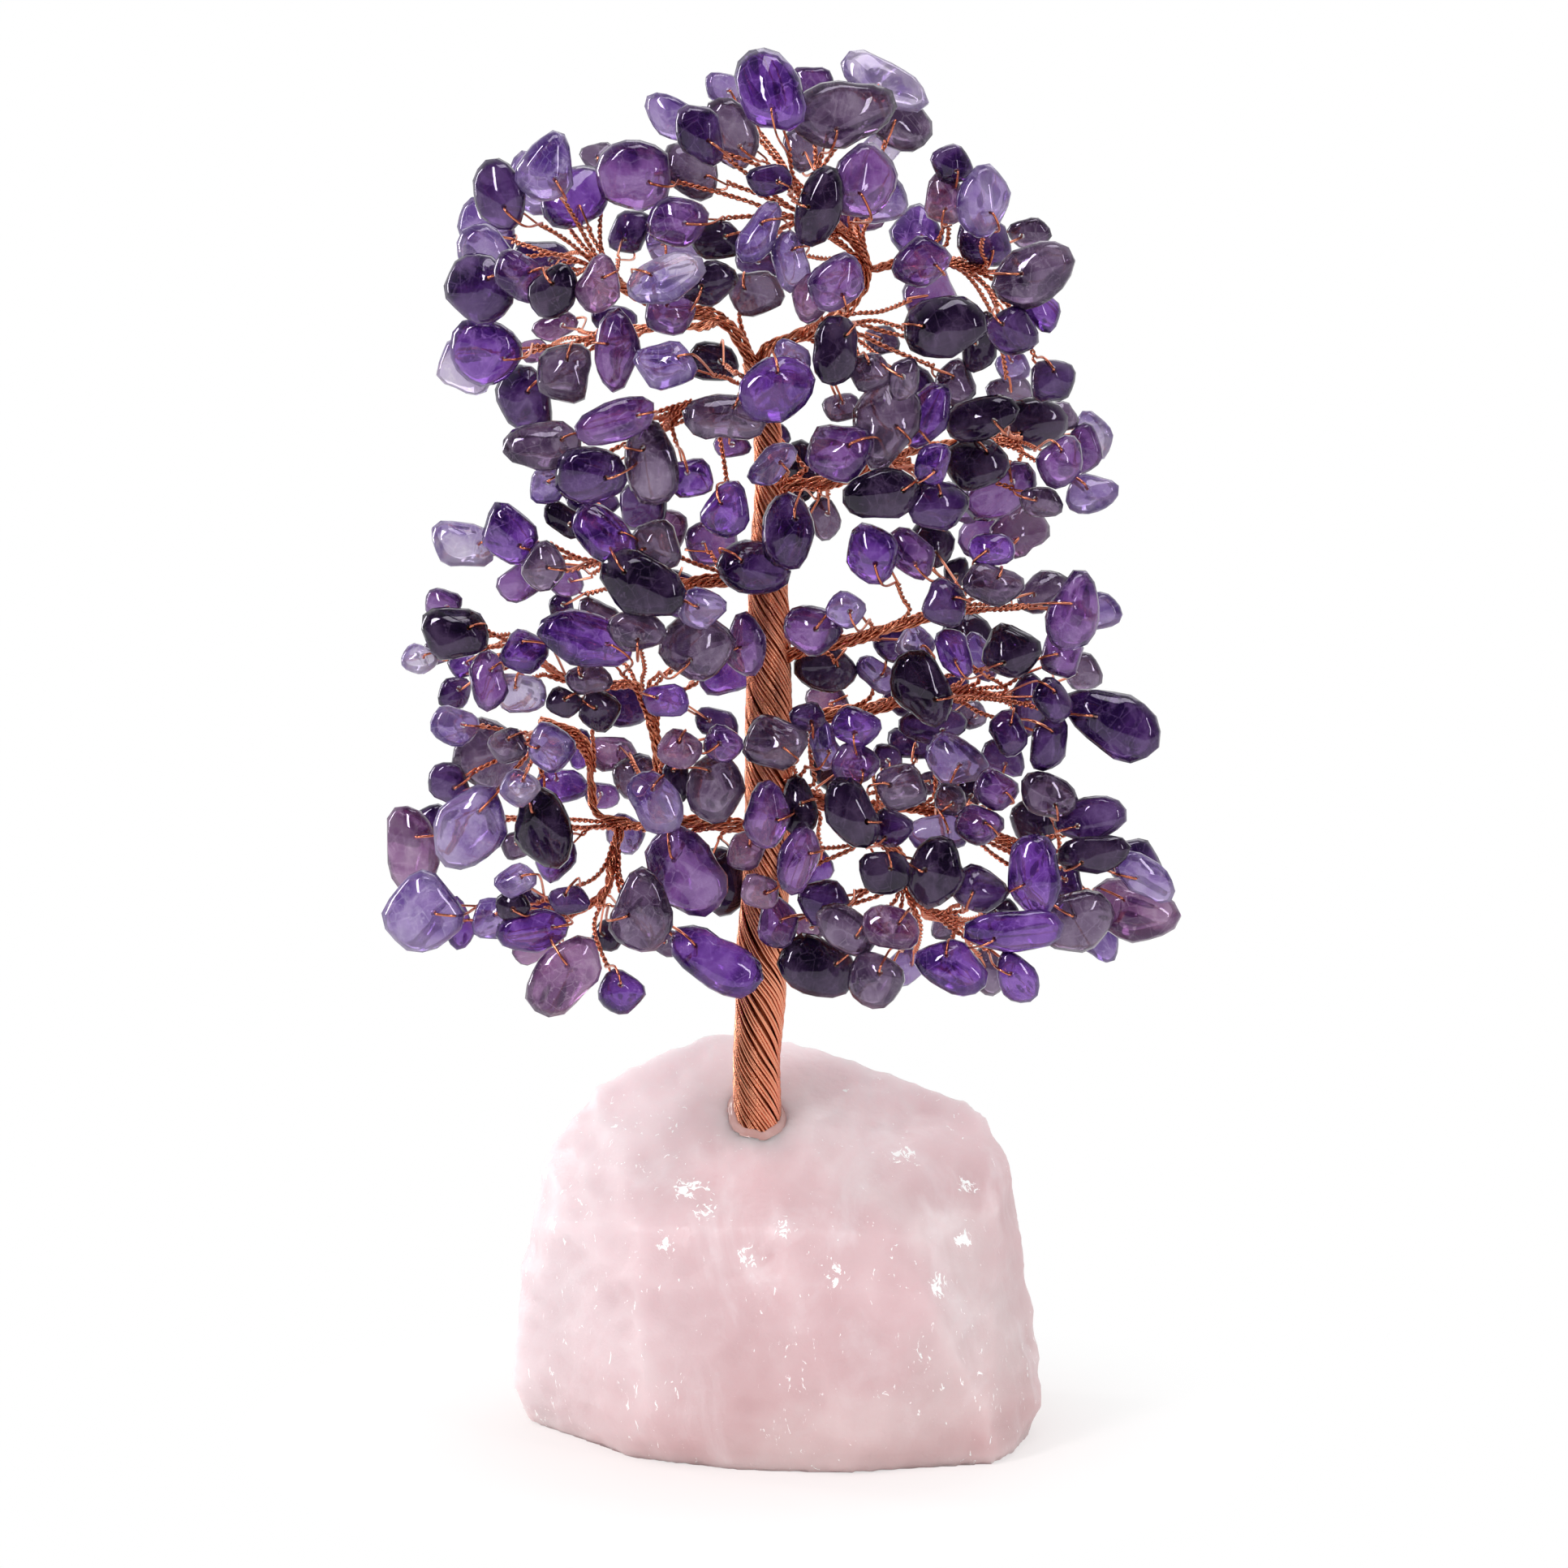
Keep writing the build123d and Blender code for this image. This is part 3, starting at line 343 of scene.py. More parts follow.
def cloud(add, scale, detail=3.0, roughness=0.5, distortion=0.0, stretch=(1, 1, 1), turn=(0, 0, 0)):
    """Soft noise through the piece, on its own coordinates."""
    mapping = add("ShaderNodeMapping", {"Vector": own_place(add), "Scale": stretch, "Rotation": turn})
    inputs = {"Vector": mapping.outputs["Vector"], "Scale": scale, "Detail": detail}
    inputs.update({"Roughness": roughness, "Distortion": distortion})
    return add("ShaderNodeTexNoise", inputs).outputs["Fac"]


def near_spot(add, spot, inner, outer, strength):
    """A share that is full within the inner reach of a spot and gone at the outer one."""
    gap = add("ShaderNodeVectorMath", {0: own_place(add), 1: spot}, operation="DISTANCE")
    return fade(add, gap.outputs["Value"], inner, outer, strength, 0.0)


def mixed(add, factor, first, second):
    """Two colours mixed by a factor."""
    inputs = {0: factor}
    for key, value in ((6, first), (7, second)):
        inputs[key] = value if isinstance(value, bpy.types.NodeSocket) else (*value, 1.0)
    return add("ShaderNodeMix", inputs, data_type="RGBA").outputs[2]


def bumped(add, link, height, strength, distance):
    """A bump on the shader's normal."""
    bump = add("ShaderNodeBump", {"Height": height, "Strength": strength, "Distance": distance})
    link(bump.outputs["Normal"], "Normal")


def tinted(colour, by):
    """A colour multiplied by another."""
    return tuple(a * b for a, b in zip(colour, by))


# Amethyst: each tone has a body colour, the colour of its darker zones, the milky veil that
# drifts through it, and how clear it is
AMETHYST_TONES = {
    "pale": ((0.57, 0.47, 0.70), (0.28, 0.19, 0.48), (0.90, 0.86, 0.94), 0.75),
    "light": ((0.34, 0.22, 0.52), (0.12, 0.055, 0.28), (0.66, 0.58, 0.80), 0.7),
    "mid": ((0.23, 0.085, 0.34), (0.052, 0.013, 0.12), (0.52, 0.35, 0.66), 0.7),
    "vivid": ((0.16, 0.045, 0.36), (0.032, 0.007, 0.105), (0.48, 0.25, 0.76), 0.75),
    "dark": ((0.058, 0.017, 0.12), (0.012, 0.002, 0.038), (0.24, 0.14, 0.36), 0.6),
    "black": ((0.018, 0.007, 0.032), (0.004, 0.0014, 0.010), (0.12, 0.075, 0.155), 0.4),
    "smoky": ((0.15, 0.088, 0.18), (0.042, 0.02, 0.058), (0.44, 0.35, 0.48), 0.7),
    "mauve": ((0.32, 0.145, 0.33), (0.115, 0.033, 0.13), (0.63, 0.48, 0.63), 0.7),
}
TONE_NAMES = list(AMETHYST_TONES)
VEIL_IN_GLOW = 0.4
# How strongly the painted glow and rim shade shift a chip's colour zones
GLOW_AND_RIM_SHARE = 0.2
AMETHYST_GLOSS = {
    "Roughness": 0.06, "IOR": 1.5, "Specular IOR Level": 0.05, "Specular Tint": (0.55, 0.35, 0.8, 1.0),
    "Coat Roughness": 0.02,
}
STONE_GLOSS = {
    "Subsurface Weight": 0.9, "Subsurface Radius": (1.0, 0.8, 0.83), "Subsurface Scale": 0.012,
    "IOR": 1.54, "Specular IOR Level": 0.35,
}
GLUE_GLOSS = {"Roughness": 0.25, "IOR": 1.48, "Coat Weight": 0.12, "Coat Roughness": 0.03}
STONE_PINKS = ((0.63, 0.43, 0.45), (0.67, 0.49, 0.51), (0.72, 0.60, 0.61))
TARNISH_TINT = (0.88, 0.8, 0.76)
# The darker copper painted as shade in the grooves between strands
GROOVE_SHADE_TINT = (0.45, 0.27, 0.22)

# How fine each pattern is, in repeats per metre
ZONE_SCALE, VEIL_SCALE, CRACK_SCALE, SPECK_SCALE, DENT_SCALE = 170, 300, 420, 1100, 260
TARNISH_SCALE, SCRATCH_SCALE, GLUE_SCALE = 160, 1200, 300
HAZE_SCALE, MILK_SCALE, GLINT_SCALE, REGION_SCALE, GRAIN_SCALE, POLISH_SCALE = 24, 48, 650, 35, 500, 70


def amethyst(tone):
    """Polished amethyst of one tone: colour zones, a milky veil, fine healed cracks, and a painted glow on
    one side of each chip with painted shade at its rim.
    """
    body, zone, veil, clearness = AMETHYST_TONES[tone]
    gloss = AMETHYST_GLOSS | {"Transmission Weight": clearness}
    material, add, link = new_material("amethyst_" + tone, gloss)
    glow = tuple(a * (1 - VEIL_IN_GLOW) + b * VEIL_IN_GLOW for a, b in zip(body, veil))
    glow_and_rim_shade = add("ShaderNodeAttribute", attribute_name="glow_and_rim_shade").outputs["Fac"]
    zones = cloud(add, ZONE_SCALE, detail=2.5, distortion=0.6)
    zones = worked(add, "MULTIPLY_ADD", glow_and_rim_shade, GLOW_AND_RIM_SHARE, zones)
    colour = ramp(add, zones, (0.34, zone), (0.5, body), (0.68, glow))
    drift = {"roughness": 0.62, "distortion": 0.7, "stretch": (1, 1, 0.6), "turn": (0.4, 0.7, 0.2)}
    cracks = {"Vector": own_place(add), "Scale": CRACK_SCALE}
    cracks = add("ShaderNodeTexVoronoi", cracks, feature="DISTANCE_TO_EDGE").outputs["Distance"]
    veils = (
        grey_ramp(add, cloud(add, VEIL_SCALE, detail=5, **drift), (0.54, 0.0), (0.74, 0.7)),
        grey_ramp(add, cracks, (0.0, 0.35), (0.035, 0.0)),
        grey_ramp(add, cloud(add, SPECK_SCALE, roughness=0.6), (0.6, 0.0), (0.7, 0.5)),
    )
    for share in veils:
        colour = mixed(add, share, colour, veil)
    link(colour, "Base Color")
    bumped(add, link, cloud(add, DENT_SCALE, detail=2), strength=0.12, distance=0.6 * MM)
    facing = add("ShaderNodeLayerWeight", {"Blend": 0.5}).outputs["Facing"]
    link(fade(add, facing, 0.4, 0.85, 0.8, 0.03), "Coat Weight")
    return material


def copper(name, tint, roughness):
    """Drawn copper wire: warm metal, with painted shade darkening it in the grooves between the strands."""
    material, add, link = new_material(name, {"Metallic": 1.0})
    colour = ramp(add, cloud(add, TARNISH_SCALE), (0.35, tinted(tint, TARNISH_TINT)), (0.6, tint))
    groove_shade = add("ShaderNodeAttribute", attribute_name="groove_shade").outputs["Fac"]
    groove_shade = grey_ramp(add, groove_shade, (0.3, 0.0), (0.8, 1.0))
    link(mixed(add, groove_shade, tinted(tint, GROOVE_SHADE_TINT), colour), "Base Color")
    scratches = cloud(add, SCRATCH_SCALE, detail=2)
    link(grey_ramp(add, scratches, (0.3, roughness * 0.85), (0.7, roughness * 1.2)), "Roughness")
    return material


def rose_quartz(glint_spots, foot):
    """Rough rose quartz: cloudy pink and milk-white, deeper pink round the trunk's foot, with painted
    white glints at some spots standing in for light caught in fractures, a top painted lighter as
    light falling on it, and a foot edge painted lighter against its shade."""
    material, add, link = new_material("rose_quartz", STONE_GLOSS)
    haze = cloud(add, HAZE_SCALE, detail=4, distortion=0.5)
    colour = ramp(add, haze, *zip((0.36, 0.5, 0.62), STONE_PINKS))
    place = add("ShaderNodeSeparateXYZ", {0: own_place(add)}).outputs
    left = fade(add, place["X"], -0.05, 0.0, 0.8, 0.0)
    right = fade(add, place["X"], 0.02, 0.045, 0.0, 0.4)
    # Painted light: the top is painted lighter, as light falling on it
    painted_top_light = fade(add, place["Z"], 0.042, 0.06, 0.0, 0.85)
    low = fade(add, place["Z"], 0.0, 0.024, 0.5, 0.0)
    low = worked(add, "MULTIPLY", low, fade(add, place["X"], -0.04, 0.0, 0.3, 1.0))
    # Painted light: the lowest few millimetres are painted lighter, lifting the shade along the foot's edge
    edge = fade(add, place["Z"], 0.0, 0.003, 0.6, 0.0)
    drift = {"roughness": 0.6, "distortion": 1.4, "stretch": (1, 1, 0.6), "turn": (0.3, 0.5, 0)}
    milk = grey_ramp(add, cloud(add, MILK_SCALE, detail=6, **drift), (0.52, 0.0), (0.72, 0.45))
    tints = (
        (left, (0.71, 0.655, 0.685)),
        (right, (0.56, 0.39, 0.40)),
        (painted_top_light, (0.95, 0.81, 0.84)),
        (low, (0.56, 0.375, 0.37)),
        (edge, (0.82, 0.64, 0.65)),
        (milk, (0.82, 0.76, 0.78)),
        (near_spot(add, foot, 0.006, 0.02, 0.75), (0.80, 0.52, 0.54)),
    )
    for share, tint in tints:
        colour = mixed(add, share, colour, tint)

    # Painted highlights: white glints, crowded at the listed spots and more towards the left, a few
    # elsewhere
    patches = 0.0
    for spot, reach in glint_spots:
        patches = worked(add, "MAXIMUM", near_spot(add, spot, reach * 0.3, reach, 1.0), patches)
    tangle = {"roughness": 0.65, "distortion": 1.5, "stretch": (1, 1, 0.45), "turn": (0.2, 0.7, 0.3)}
    chance = cloud(add, GLINT_SCALE, detail=5, **tangle)
    for favour, weight in ((patches, 0.17), (left, 0.03), (cloud(add, REGION_SCALE, detail=2), 0.12)):
        chance = worked(add, "MULTIPLY_ADD", favour, weight, chance)
    glints = grey_ramp(add, chance, (0.715, 0.0), (0.745, 1.0))
    link(mixed(add, glints, colour, (1.0, 0.99, 0.99)), "Base Color")

    height = mixed(add, glints, cloud(add, GRAIN_SCALE, detail=4, roughness=0.6), (1, 1, 1))
    bumped(add, link, height, strength=0.4, distance=0.5 * MM)
    link(grey_ramp(add, cloud(add, POLISH_SCALE, detail=4), (0.4, 0.36), (0.62, 0.6)), "Roughness")
    return material


def clear_glue():
    """Glossy glue in the stone's pink, painted darker and warmer: painted shade and a painted reflection of
    the copper round the trunk's foot.
    """
    material, add, link = new_material("clear_glue", GLUE_GLOSS)
    colour = ramp(add, cloud(add, GLUE_SCALE), (0.35, (0.50, 0.27, 0.24)), (0.65, (0.60, 0.38, 0.36)))
    link(colour, "Base Color")
    return material


TONE_MATERIALS = [amethyst(tone) for tone in TONE_NAMES]
TRUNK_COPPER = copper("trunk_copper", (0.97, 0.42, 0.26), 0.27)
PAIR_COPPER = copper("pair_copper", (0.78, 0.28, 0.17), 0.22)
BOUGH_COPPER = copper("bough_copper", (0.86, 0.34, 0.2), 0.24)
# A dark copper for the trunk's core: painted shade deep between the strands
SHADED_CORE_COPPER = copper("painted_shade_copper", (0.4, 0.11, 0.05), 0.4)


# Reading the CAD pieces


def solids_of(node):
    """The separate solids of a CAD node: the corners and the triangles of each."""
    copy = bmesh.new()
    copy.from_mesh(nodes[node].data)
    bmesh.ops.remove_doubles(copy, verts=copy.verts, dist=MERGE)
    copy.verts.index_update()
    copy.faces.index_update()
    solids, known = [], set()
    for first in copy.verts:
        if first.index in known:
            continue
        known.add(first.index)
        waiting, members = [first], []
        while waiting:
            corner = waiting.pop()
            members.append(corner)
            for edge in corner.link_edges:
                other = edge.other_vert(corner)
                if other.index not in known:
                    known.add(other.index)
                    waiting.append(other)
        number = {corner: k for k, corner in enumerate(members)}
        faces = {face.index: face for corner in members for face in corner.link_faces}
        triangles = [[number[corner] for corner in faces[k].verts] for k in sorted(faces)]
        solids.append((np.array([corner.co[:] for corner in members]), np.array(triangles)))
    copy.free()
    return solids


def trunk_rings():
    """The trunk's level rings, from its foot up: the middle of each and its radius."""
    corners = solids_of("trunk_bundle")[0][0]
    rings = []
    for height in sorted({round(z / RING_GRID) for z in corners[:, 2]}):
        ring = corners[np.abs(corners[:, 2] - height * RING_GRID) < RING_GAP]
        if len(ring) == TRUNK_SIDES:
            middle = ring.mean(axis=0)
            rings.append((middle, np.linalg.norm(ring - middle, axis=1).mean()))
    return rings


def flat_axis(corners, triangles):
    """The direction through a chip: square to its two flat faces, the largest parallel pair."""
    first, second, third = (corners[triangles[:, k]] for k in range(3))
    crossed = np.cross(second - first, third - first)
    areas = np.linalg.norm(crossed, axis=1) / 2
    normals = crossed / (2 * areas[:, None])
    best, axis = 0.0, None
    for normal in normals:
        facing = normals @ normal
        smaller = min(areas[facing > ALIKE].sum(), areas[facing < -ALIKE].sum())
        if smaller > best:
            best, axis = smaller, normal
    return axis


class Stone:
    """A chip as the CAD has it: its faces, its outline and its drilled hole."""

    def __init__(self, corners, triangles):
        self.axis = flat_axis(corners, triangles)
        heights = corners @ self.axis
        self.thickness = (heights.max() - heights.min()) / 2
        level = (heights.max() + heights.min()) / 2
        self.across = unit(np.cross(self.axis, (0.13, 0.27, 0.95)))
        self.along = np.cross(self.across, self.axis)
        flat = np.stack((corners @ self.across, corners @ self.along), axis=1)
        near, far = flat[heights > level], flat[heights < level]
        apart = np.linalg.norm(near[:, None] - far[None], axis=2)
        in_hole, far_in_hole = apart.min(axis=1) < MERGE * 2, apart.min(axis=0) < MERGE * 2
        self.hole = near[in_hole].mean(axis=0)
        outlines = near[~in_hole], far[~far_in_hole]
        self.middle = np.concatenate(outlines).mean(axis=0)
        self.base = self.axis * level
        self.centre = self.at(self.middle, 0.0)
        self.hole_centre = self.at(self.hole, 0.0)
        reach = np.zeros(OUTLINE_STEPS)
        for outline in outlines:
            reach = np.maximum(reach, self.outline_reach(outline))
        self.reach = self.dented(self.rounded(reach))

    def at(self, place, height):
        """A point given by its place across the chip and its height above mid thickness."""
        return self.base + self.across * place[0] + self.along * place[1] + self.axis * height

    def outline_reach(self, outline):
        """How far a convex outline reaches from the middle, all the way round."""
        offsets = outline - self.middle
        order = np.argsort(np.arctan2(offsets[:, 1], offsets[:, 0]))
        starts = offsets[order]
        sides = np.roll(starts, -1, axis=0) - starts
        outward = np.stack((sides[:, 1], -sides[:, 0]), axis=1)
        gaps = np.einsum("ij,ij->i", starts, outward)
        turns = OUTLINE_TURNS[:-1]
        facing = np.stack((np.cos(turns), np.sin(turns)), axis=1) @ outward.T
        distances = np.where(facing > 0, gaps / np.where(facing > 0, facing, 1), np.inf)
        return distances.min(axis=1)

    def rounded(self, reach):
        """The reach with its corners worn round, as tumbling leaves them."""
        worn = reach.copy()
        for _ in range(WEAR_ROUNDS):
            worn = (np.roll(worn, 1) + 2 * worn + np.roll(worn, -1)) / 4
        return worn * (OUTLINE_FILL * reach.max() / worn.max())

    def outline(self, share):
        """The place that lies a share of the way round the outline."""
        reach = np.append(self.reach, self.reach[0])
        line = np.stack((np.cos(OUTLINE_TURNS) * reach, np.sin(OUTLINE_TURNS) * reach), axis=1)
        lengths = np.cumsum(step_lengths(line))
        mark = share * lengths[-1]
        return self.middle + np.array([np.interp(mark, lengths, line[:, k]) for k in range(2)])

    def dented(self, reach):
        """The reach with a shallow hollow in one or two of its sides, away from the hole."""
        chance = random.Random(round(self.middle[0] * SEED_GRAIN))
        to_hole = self.hole - self.middle
        hole_turn = math.atan2(to_hole[1], to_hole[0])
        for depth in DENT_DEPTHS:
            place = hole_turn + chance.uniform(*DENT_PLACES) * math.pi
            off = (OUTLINE_TURNS[:-1] - place + math.pi) % math.tau - math.pi
            depth *= chance.random()
            reach = reach * (1 - depth * np.exp(-((off / chance.uniform(*DENT_WIDTHS)) ** 2)))
        return reach

    def reach_at(self, turn):
        """How far the outline lies from the middle at a turn in radians."""
        steps = turn % math.tau * OUTLINE_STEPS / math.tau
        low = int(steps) % OUTLINE_STEPS
        share = steps - int(steps)
        return self.reach[low] * (1 - share) + self.reach[(low + 1) % OUTLINE_STEPS] * share

    def spread(self, place):
        """How far out a place lies: 0 in the middle, 1 on the outline."""
        offset = place - self.middle
        return np.linalg.norm(offset) / self.reach_at(math.atan2(offset[1], offset[0]))

    def crown_height(self, place):
        """Half the chip's thickness at a place: full in the middle and round at the rim."""
        spread = min(self.spread(place), 1.0)
        return self.thickness * STONE_FULLNESS * (1 - spread ** CROWN_POWERS[0]) ** CROWN_POWERS[1]

    def nearest_rim(self):
        """The direction in which the outline lies nearest to the hole, and how far that is."""
        ways = [np.array((math.cos(turn), math.sin(turn))) for turn in OUTLINE_TURNS[:-1:2]]
        way = min(ways, key=self.rim_distance)
        return way, self.rim_distance(way)

    def rim_distance(self, direction):
        """How far it is from the hole to the outline in a direction."""
        low, high = 0.0, 4 * self.reach.max()
        for _ in range(HALVINGS):
            half = (low + high) / 2
            if self.spread(self.hole + direction * half) < 1.0:
                low = half
            else:
                high = half
        return low

    def off_axis(self, point):
        """How far a point lies from the line of the hole."""
        offset = point - self.hole_centre
        return np.linalg.norm(offset - self.axis * (offset @ self.axis))


def read_stones(name):
    """The chips of a bough, each with the foot and the bend of the pair that threads it."""
    stones = [Stone(corners, triangles) for corners, triangles in solids_of(name + "_chips")]
    pairs = [read_pair(corners, triangles) for corners, triangles in solids_of(name + "_wires")]
    for stone in stones:
        options = []
        for ends, bend in pairs:
            for tail, foot in (ends, ends[::-1]):
                gap = stone.off_axis(tail) + stone.off_axis(bend) + np.linalg.norm(tail - stone.hole_centre)
                options.append((gap, foot, bend))
        _, stone.foot, stone.bend = min(options, key=lambda option: option[0])
    return stones


def read_pair(corners, triangles):
    """A twisted pair's two ends and its bend, as the middles of its three rings."""
    edges = np.linalg.norm(corners[triangles] - corners[np.roll(triangles, 1, axis=1)], axis=2)
    ends = triangles[np.argsort(edges.sum(axis=1))[:2]]
    rest = [k for k in range(len(corners)) if k not in ends]
    return [corners[end].mean(axis=0) for end in ends], corners[rest].mean(axis=0)


def seen(right, up, depth):
    """The point that is seen at a place of the picture, at a depth behind the trunk."""
    on_plane = AIM + Vector(((right - MIDDLE_RIGHT) * SHARE, 0, 0)) + RISE * (up - MIDDLE_UP) * SHARE
    ray = on_plane - EYE
    return np.array(EYE + ray * ((depth * SHARE - EYE.y) / ray.y))


# Boughs as the CAD has them: whether each is a main one, and its path of places in the picture
# with their depths, in thousandths of the tree's height
BOUGH_PATHS = {
    "centre_front": (False, ((5, 748, 0), (0, 758, -28), (-10, 767, -58))),
    "crown": (True, (
        (-1, 770, 0), (6, 790, 0), (34, 798, 4), (66, 814, 8), (84, 846, 8), (62, 876, 4), (30, 890, 0),
    )),
    "upper_left": (True, (
        (-1, 770, 0), (-10, 790, -2), (-24, 811, -4), (-60, 816, -14), (-98, 829, -24), (-122, 858, -26),
    )),
    "mid_left": (False, ((-24, 811, -4), (-36, 803, 14), (-60, 803, 32), (-92, 803, 42), (-125, 793, 44))),
    "lower_mid_left": (False, ((6, 738, 0), (-14, 748, -14), (-45, 750, -32), (-72, 736, -44))),
    "right_centre": (False, ((34, 798, 4), (46, 805, -20), (60, 811, -44))),
    "right_upper": (False, ((84, 846, 8), (104, 850, 14), (136, 854, 22), (168, 842, 26))),
    "right_mid": (True, ((9, 684, 0), (28, 690, -10), (55, 689, -22), (85, 703, -30), (112, 706, -34))),
    "right_mid_outer": (False, (
        (85, 703, -30), (104, 712, -10), (132, 718, 12), (162, 720, 26), (193, 722, 30),
    )),
    "left": (True, ((8, 612, 0), (-15, 618, -12), (-36, 619, -22), (-62, 614, -26), (-93, 638, -28))),
    "right_low": (True, (
        (9, 560, 0), (35, 569, -12), (66, 575, -24), (95, 583, -32), (123, 592, -36), (152, 602, -34),
    )),
    "right_side": (True, (
        (9, 520, 0), (40, 519, 20), (74, 524, 36), (112, 533, 44), (150, 538, 44), (186, 533, 38),
    )),
    "left_lower": (True, (
        (7, 440, 0), (-35, 443, -14), (-62, 442, -20), (-74, 466, -24), (-71, 496, -26), (-86, 543, -26),
    )),
    "left_outer": (False, (
        (-86, 543, -26), (-104, 543, -10), (-128, 542, 4), (-150, 552, 14), (-172, 582, 20),
    )),
    "left_dense": (False, (
        (-62, 442, -20), (-78, 438, 4), (-98, 444, 24), (-120, 446, 32), (-121, 480, 36), (-125, 508, 38),
        (-158, 519, 38),
    )),
    "left_bottom": (False, (
        (-98, 444, 24), (-106, 418, 10), (-107, 396, -6), (-126, 378, -20), (-152, 380, -28),
    )),
    "right_lower": (True, ((8, 474, 0), (28, 467, -10), (54, 453, -20), (88, 436, -28))),
    "right_bottom": (False, (
        (88, 436, -28), (106, 420, -20), (108, 394, -20), (122, 376, -24), (148, 372, -30),
    )),
    "right_outer": (False, (
        (54, 453, -20), (78, 456, 2), (104, 454, 20), (136, 450, 30), (180, 430, 32), (218, 404, 28),
    )),
}

# Where in the picture each tone of stone is seen, in thousandths of the tree's height
TONE_PLACES = {
    "pale": (
        (92, 980), (-66, 838), (90, 932), (-211, 774), (-214, 645), (245, 725), (-245, 561), (-182, 521),
        (-173, 468), (115, 571),
    ),
    "light": (
        (-153, 922), (-163, 911), (-197, 874), (-197, 852), (-61, 954), (-24, 978), (3, 875), (24, 852),
        (164, 897), (186, 775), (-66, 776), (26, 782), (-153, 688), (11, 704), (245, 682), (249, 597),
        (66, 598), (-220, 514), (-149, 497), (-209, 440), (-73, 455), (-95, 435), (-244, 382), (-192, 373),
        (-176, 400), (49, 500), (147, 487), (132, 435), (162, 563), (282, 402), (249, 356), (109, 338),
        (86, 551), (-39, 599),
    ),
    "mid": (
        (-173, 840), (42, 980), (-90, 914), (-57, 880), (79, 911), (-63, 814), (58, 837), (126, 826),
        (120, 850), (-101, 787), (-18, 717), (-102, 734), (-171, 619), (-139, 618), (61, 711), (178, 683),
        (221, 706), (238, 716), (113, 637), (173, 650), (232, 601), (40, 584), (-228, 602), (-170, 536),
        (-8, 573), (-24, 500), (6, 448), (72, 487), (174, 467), (162, 441), (221, 566), (-53, 404),
        (30, 418), (14, 370),
    ),
    "vivid": (
        (-132, 898), (9, 974), (116, 872), (206, 816), (-197, 785), (15, 758), (-48, 693), (-22, 672),
        (-111, 652), (-180, 651), (125, 740), (127, 704), (82, 640), (172, 641), (-213, 557), (-169, 567),
        (-126, 576), (-66, 531), (-141, 470), (-129, 497), (-146, 417), (-162, 363), (-219, 370),
        (-98, 319), (-30, 343), (144, 566), (73, 513), (203, 405), (138, 338), (187, 333), (188, 363),
    ),
    "dark": (
        (-187, 901), (-203, 832), (-156, 854), (-41, 943), (9, 910), (0, 850), (141, 922), (167, 866),
        (187, 800), (216, 765), (-103, 810), (-167, 746), (-121, 693), (-82, 674), (-120, 676), (24, 655),
        (-2, 628), (132, 674), (12, 724), (137, 602), (-220, 537), (-143, 600), (-222, 468), (-29, 515),
        (37, 520), (198, 530), (216, 530), (255, 517), (183, 507), (212, 501), (141, 537), (103, 532),
        (128, 512), (112, 500), (178, 490), (98, 440), (243, 445), (-236, 442), (-136, 386), (-162, 380),
        (49, 384), (163, 395), (227, 399), (95, 490),
    ),
    "black": (
        (-147, 830), (47, 892), (-28, 866), (-34, 835), (137, 801), (57, 787), (162, 792), (-32, 778),
        (-141, 663), (-84, 614), (31, 699), (91, 681), (164, 736), (202, 732), (161, 704), (127, 645),
        (145, 625), (50, 556), (-219, 580), (-196, 547), (-140, 530), (-114, 525), (-156, 437), (-58, 474),
        (-178, 383), (-108, 361), (-28, 398), (29, 456), (68, 448), (119, 539), (186, 568), (154, 465),
        (203, 443), (93, 405), (132, 407), (246, 419), (177, 378), (42, 337),
    ),
    "smoky": (
        (63, 958), (102, 954), (-18, 946), (-49, 916), (0, 829), (-115, 927), (92, 793), (82, 770),
        (107, 766), (62, 745), (145, 763), (198, 872), (207, 847), (184, 756), (-139, 769), (-23, 737),
        (-78, 709), (-156, 716), (-72, 644), (-156, 630), (92, 730), (48, 665), (222, 738), (207, 676),
        (172, 616), (208, 611), (-231, 567), (-122, 547), (-193, 490), (-181, 498), (-86, 582), (-42, 569),
        (-29, 468), (-88, 475), (13, 501), (237, 553), (156, 521), (105, 468), (127, 472), (141, 460),
        (213, 463), (-176, 425), (-84, 381), (-63, 356), (64, 364), (87, 329), (235, 370), (137, 368),
        (168, 333),
    ),
    "mauve": (
        (-116, 837), (-6, 962), (76, 884), (39, 826), (136, 897), (-162, 786), (-146, 804), (-104, 492),
        (-55, 496), (51, 531), (-250, 424), (-142, 331), (-163, 350), (-8, 423), (2, 392), (38, 366),
        (97, 366), (281, 378),
    ),
}
TONE_REACH = 30
TONE_DEPTH_SHARE = 0.1
TONE_SEED = 5
FAR_TONES = ("mid", "vivid", "dark", "dark", "light", "smoky", "black", "mauve")


def give_tones(stones):
    """Gives each stone seen in the picture its tone, the nearest stone to each place first."""
    places = [picture_place(stone.centre) for stone in stones]
    for stone in stones:
        stone.tone = None
    for tone, spots in TONE_PLACES.items():
        for spot in spots:
            options = []
            for stone, (place, depth) in zip(stones, places):
                gap = (place - Vector(spot)).length
                if stone.tone is None and gap < TONE_REACH:
                    options.append((gap + depth / MM * TONE_DEPTH_SHARE, stone))
            if options:
                min(options, key=lambda option: option[0])[1].tone = tone
    chance = random.Random(TONE_SEED)
    for stone in stones:
        if stone.tone is None:
            stone.tone = chance.choice(FAR_TONES)


# The chips


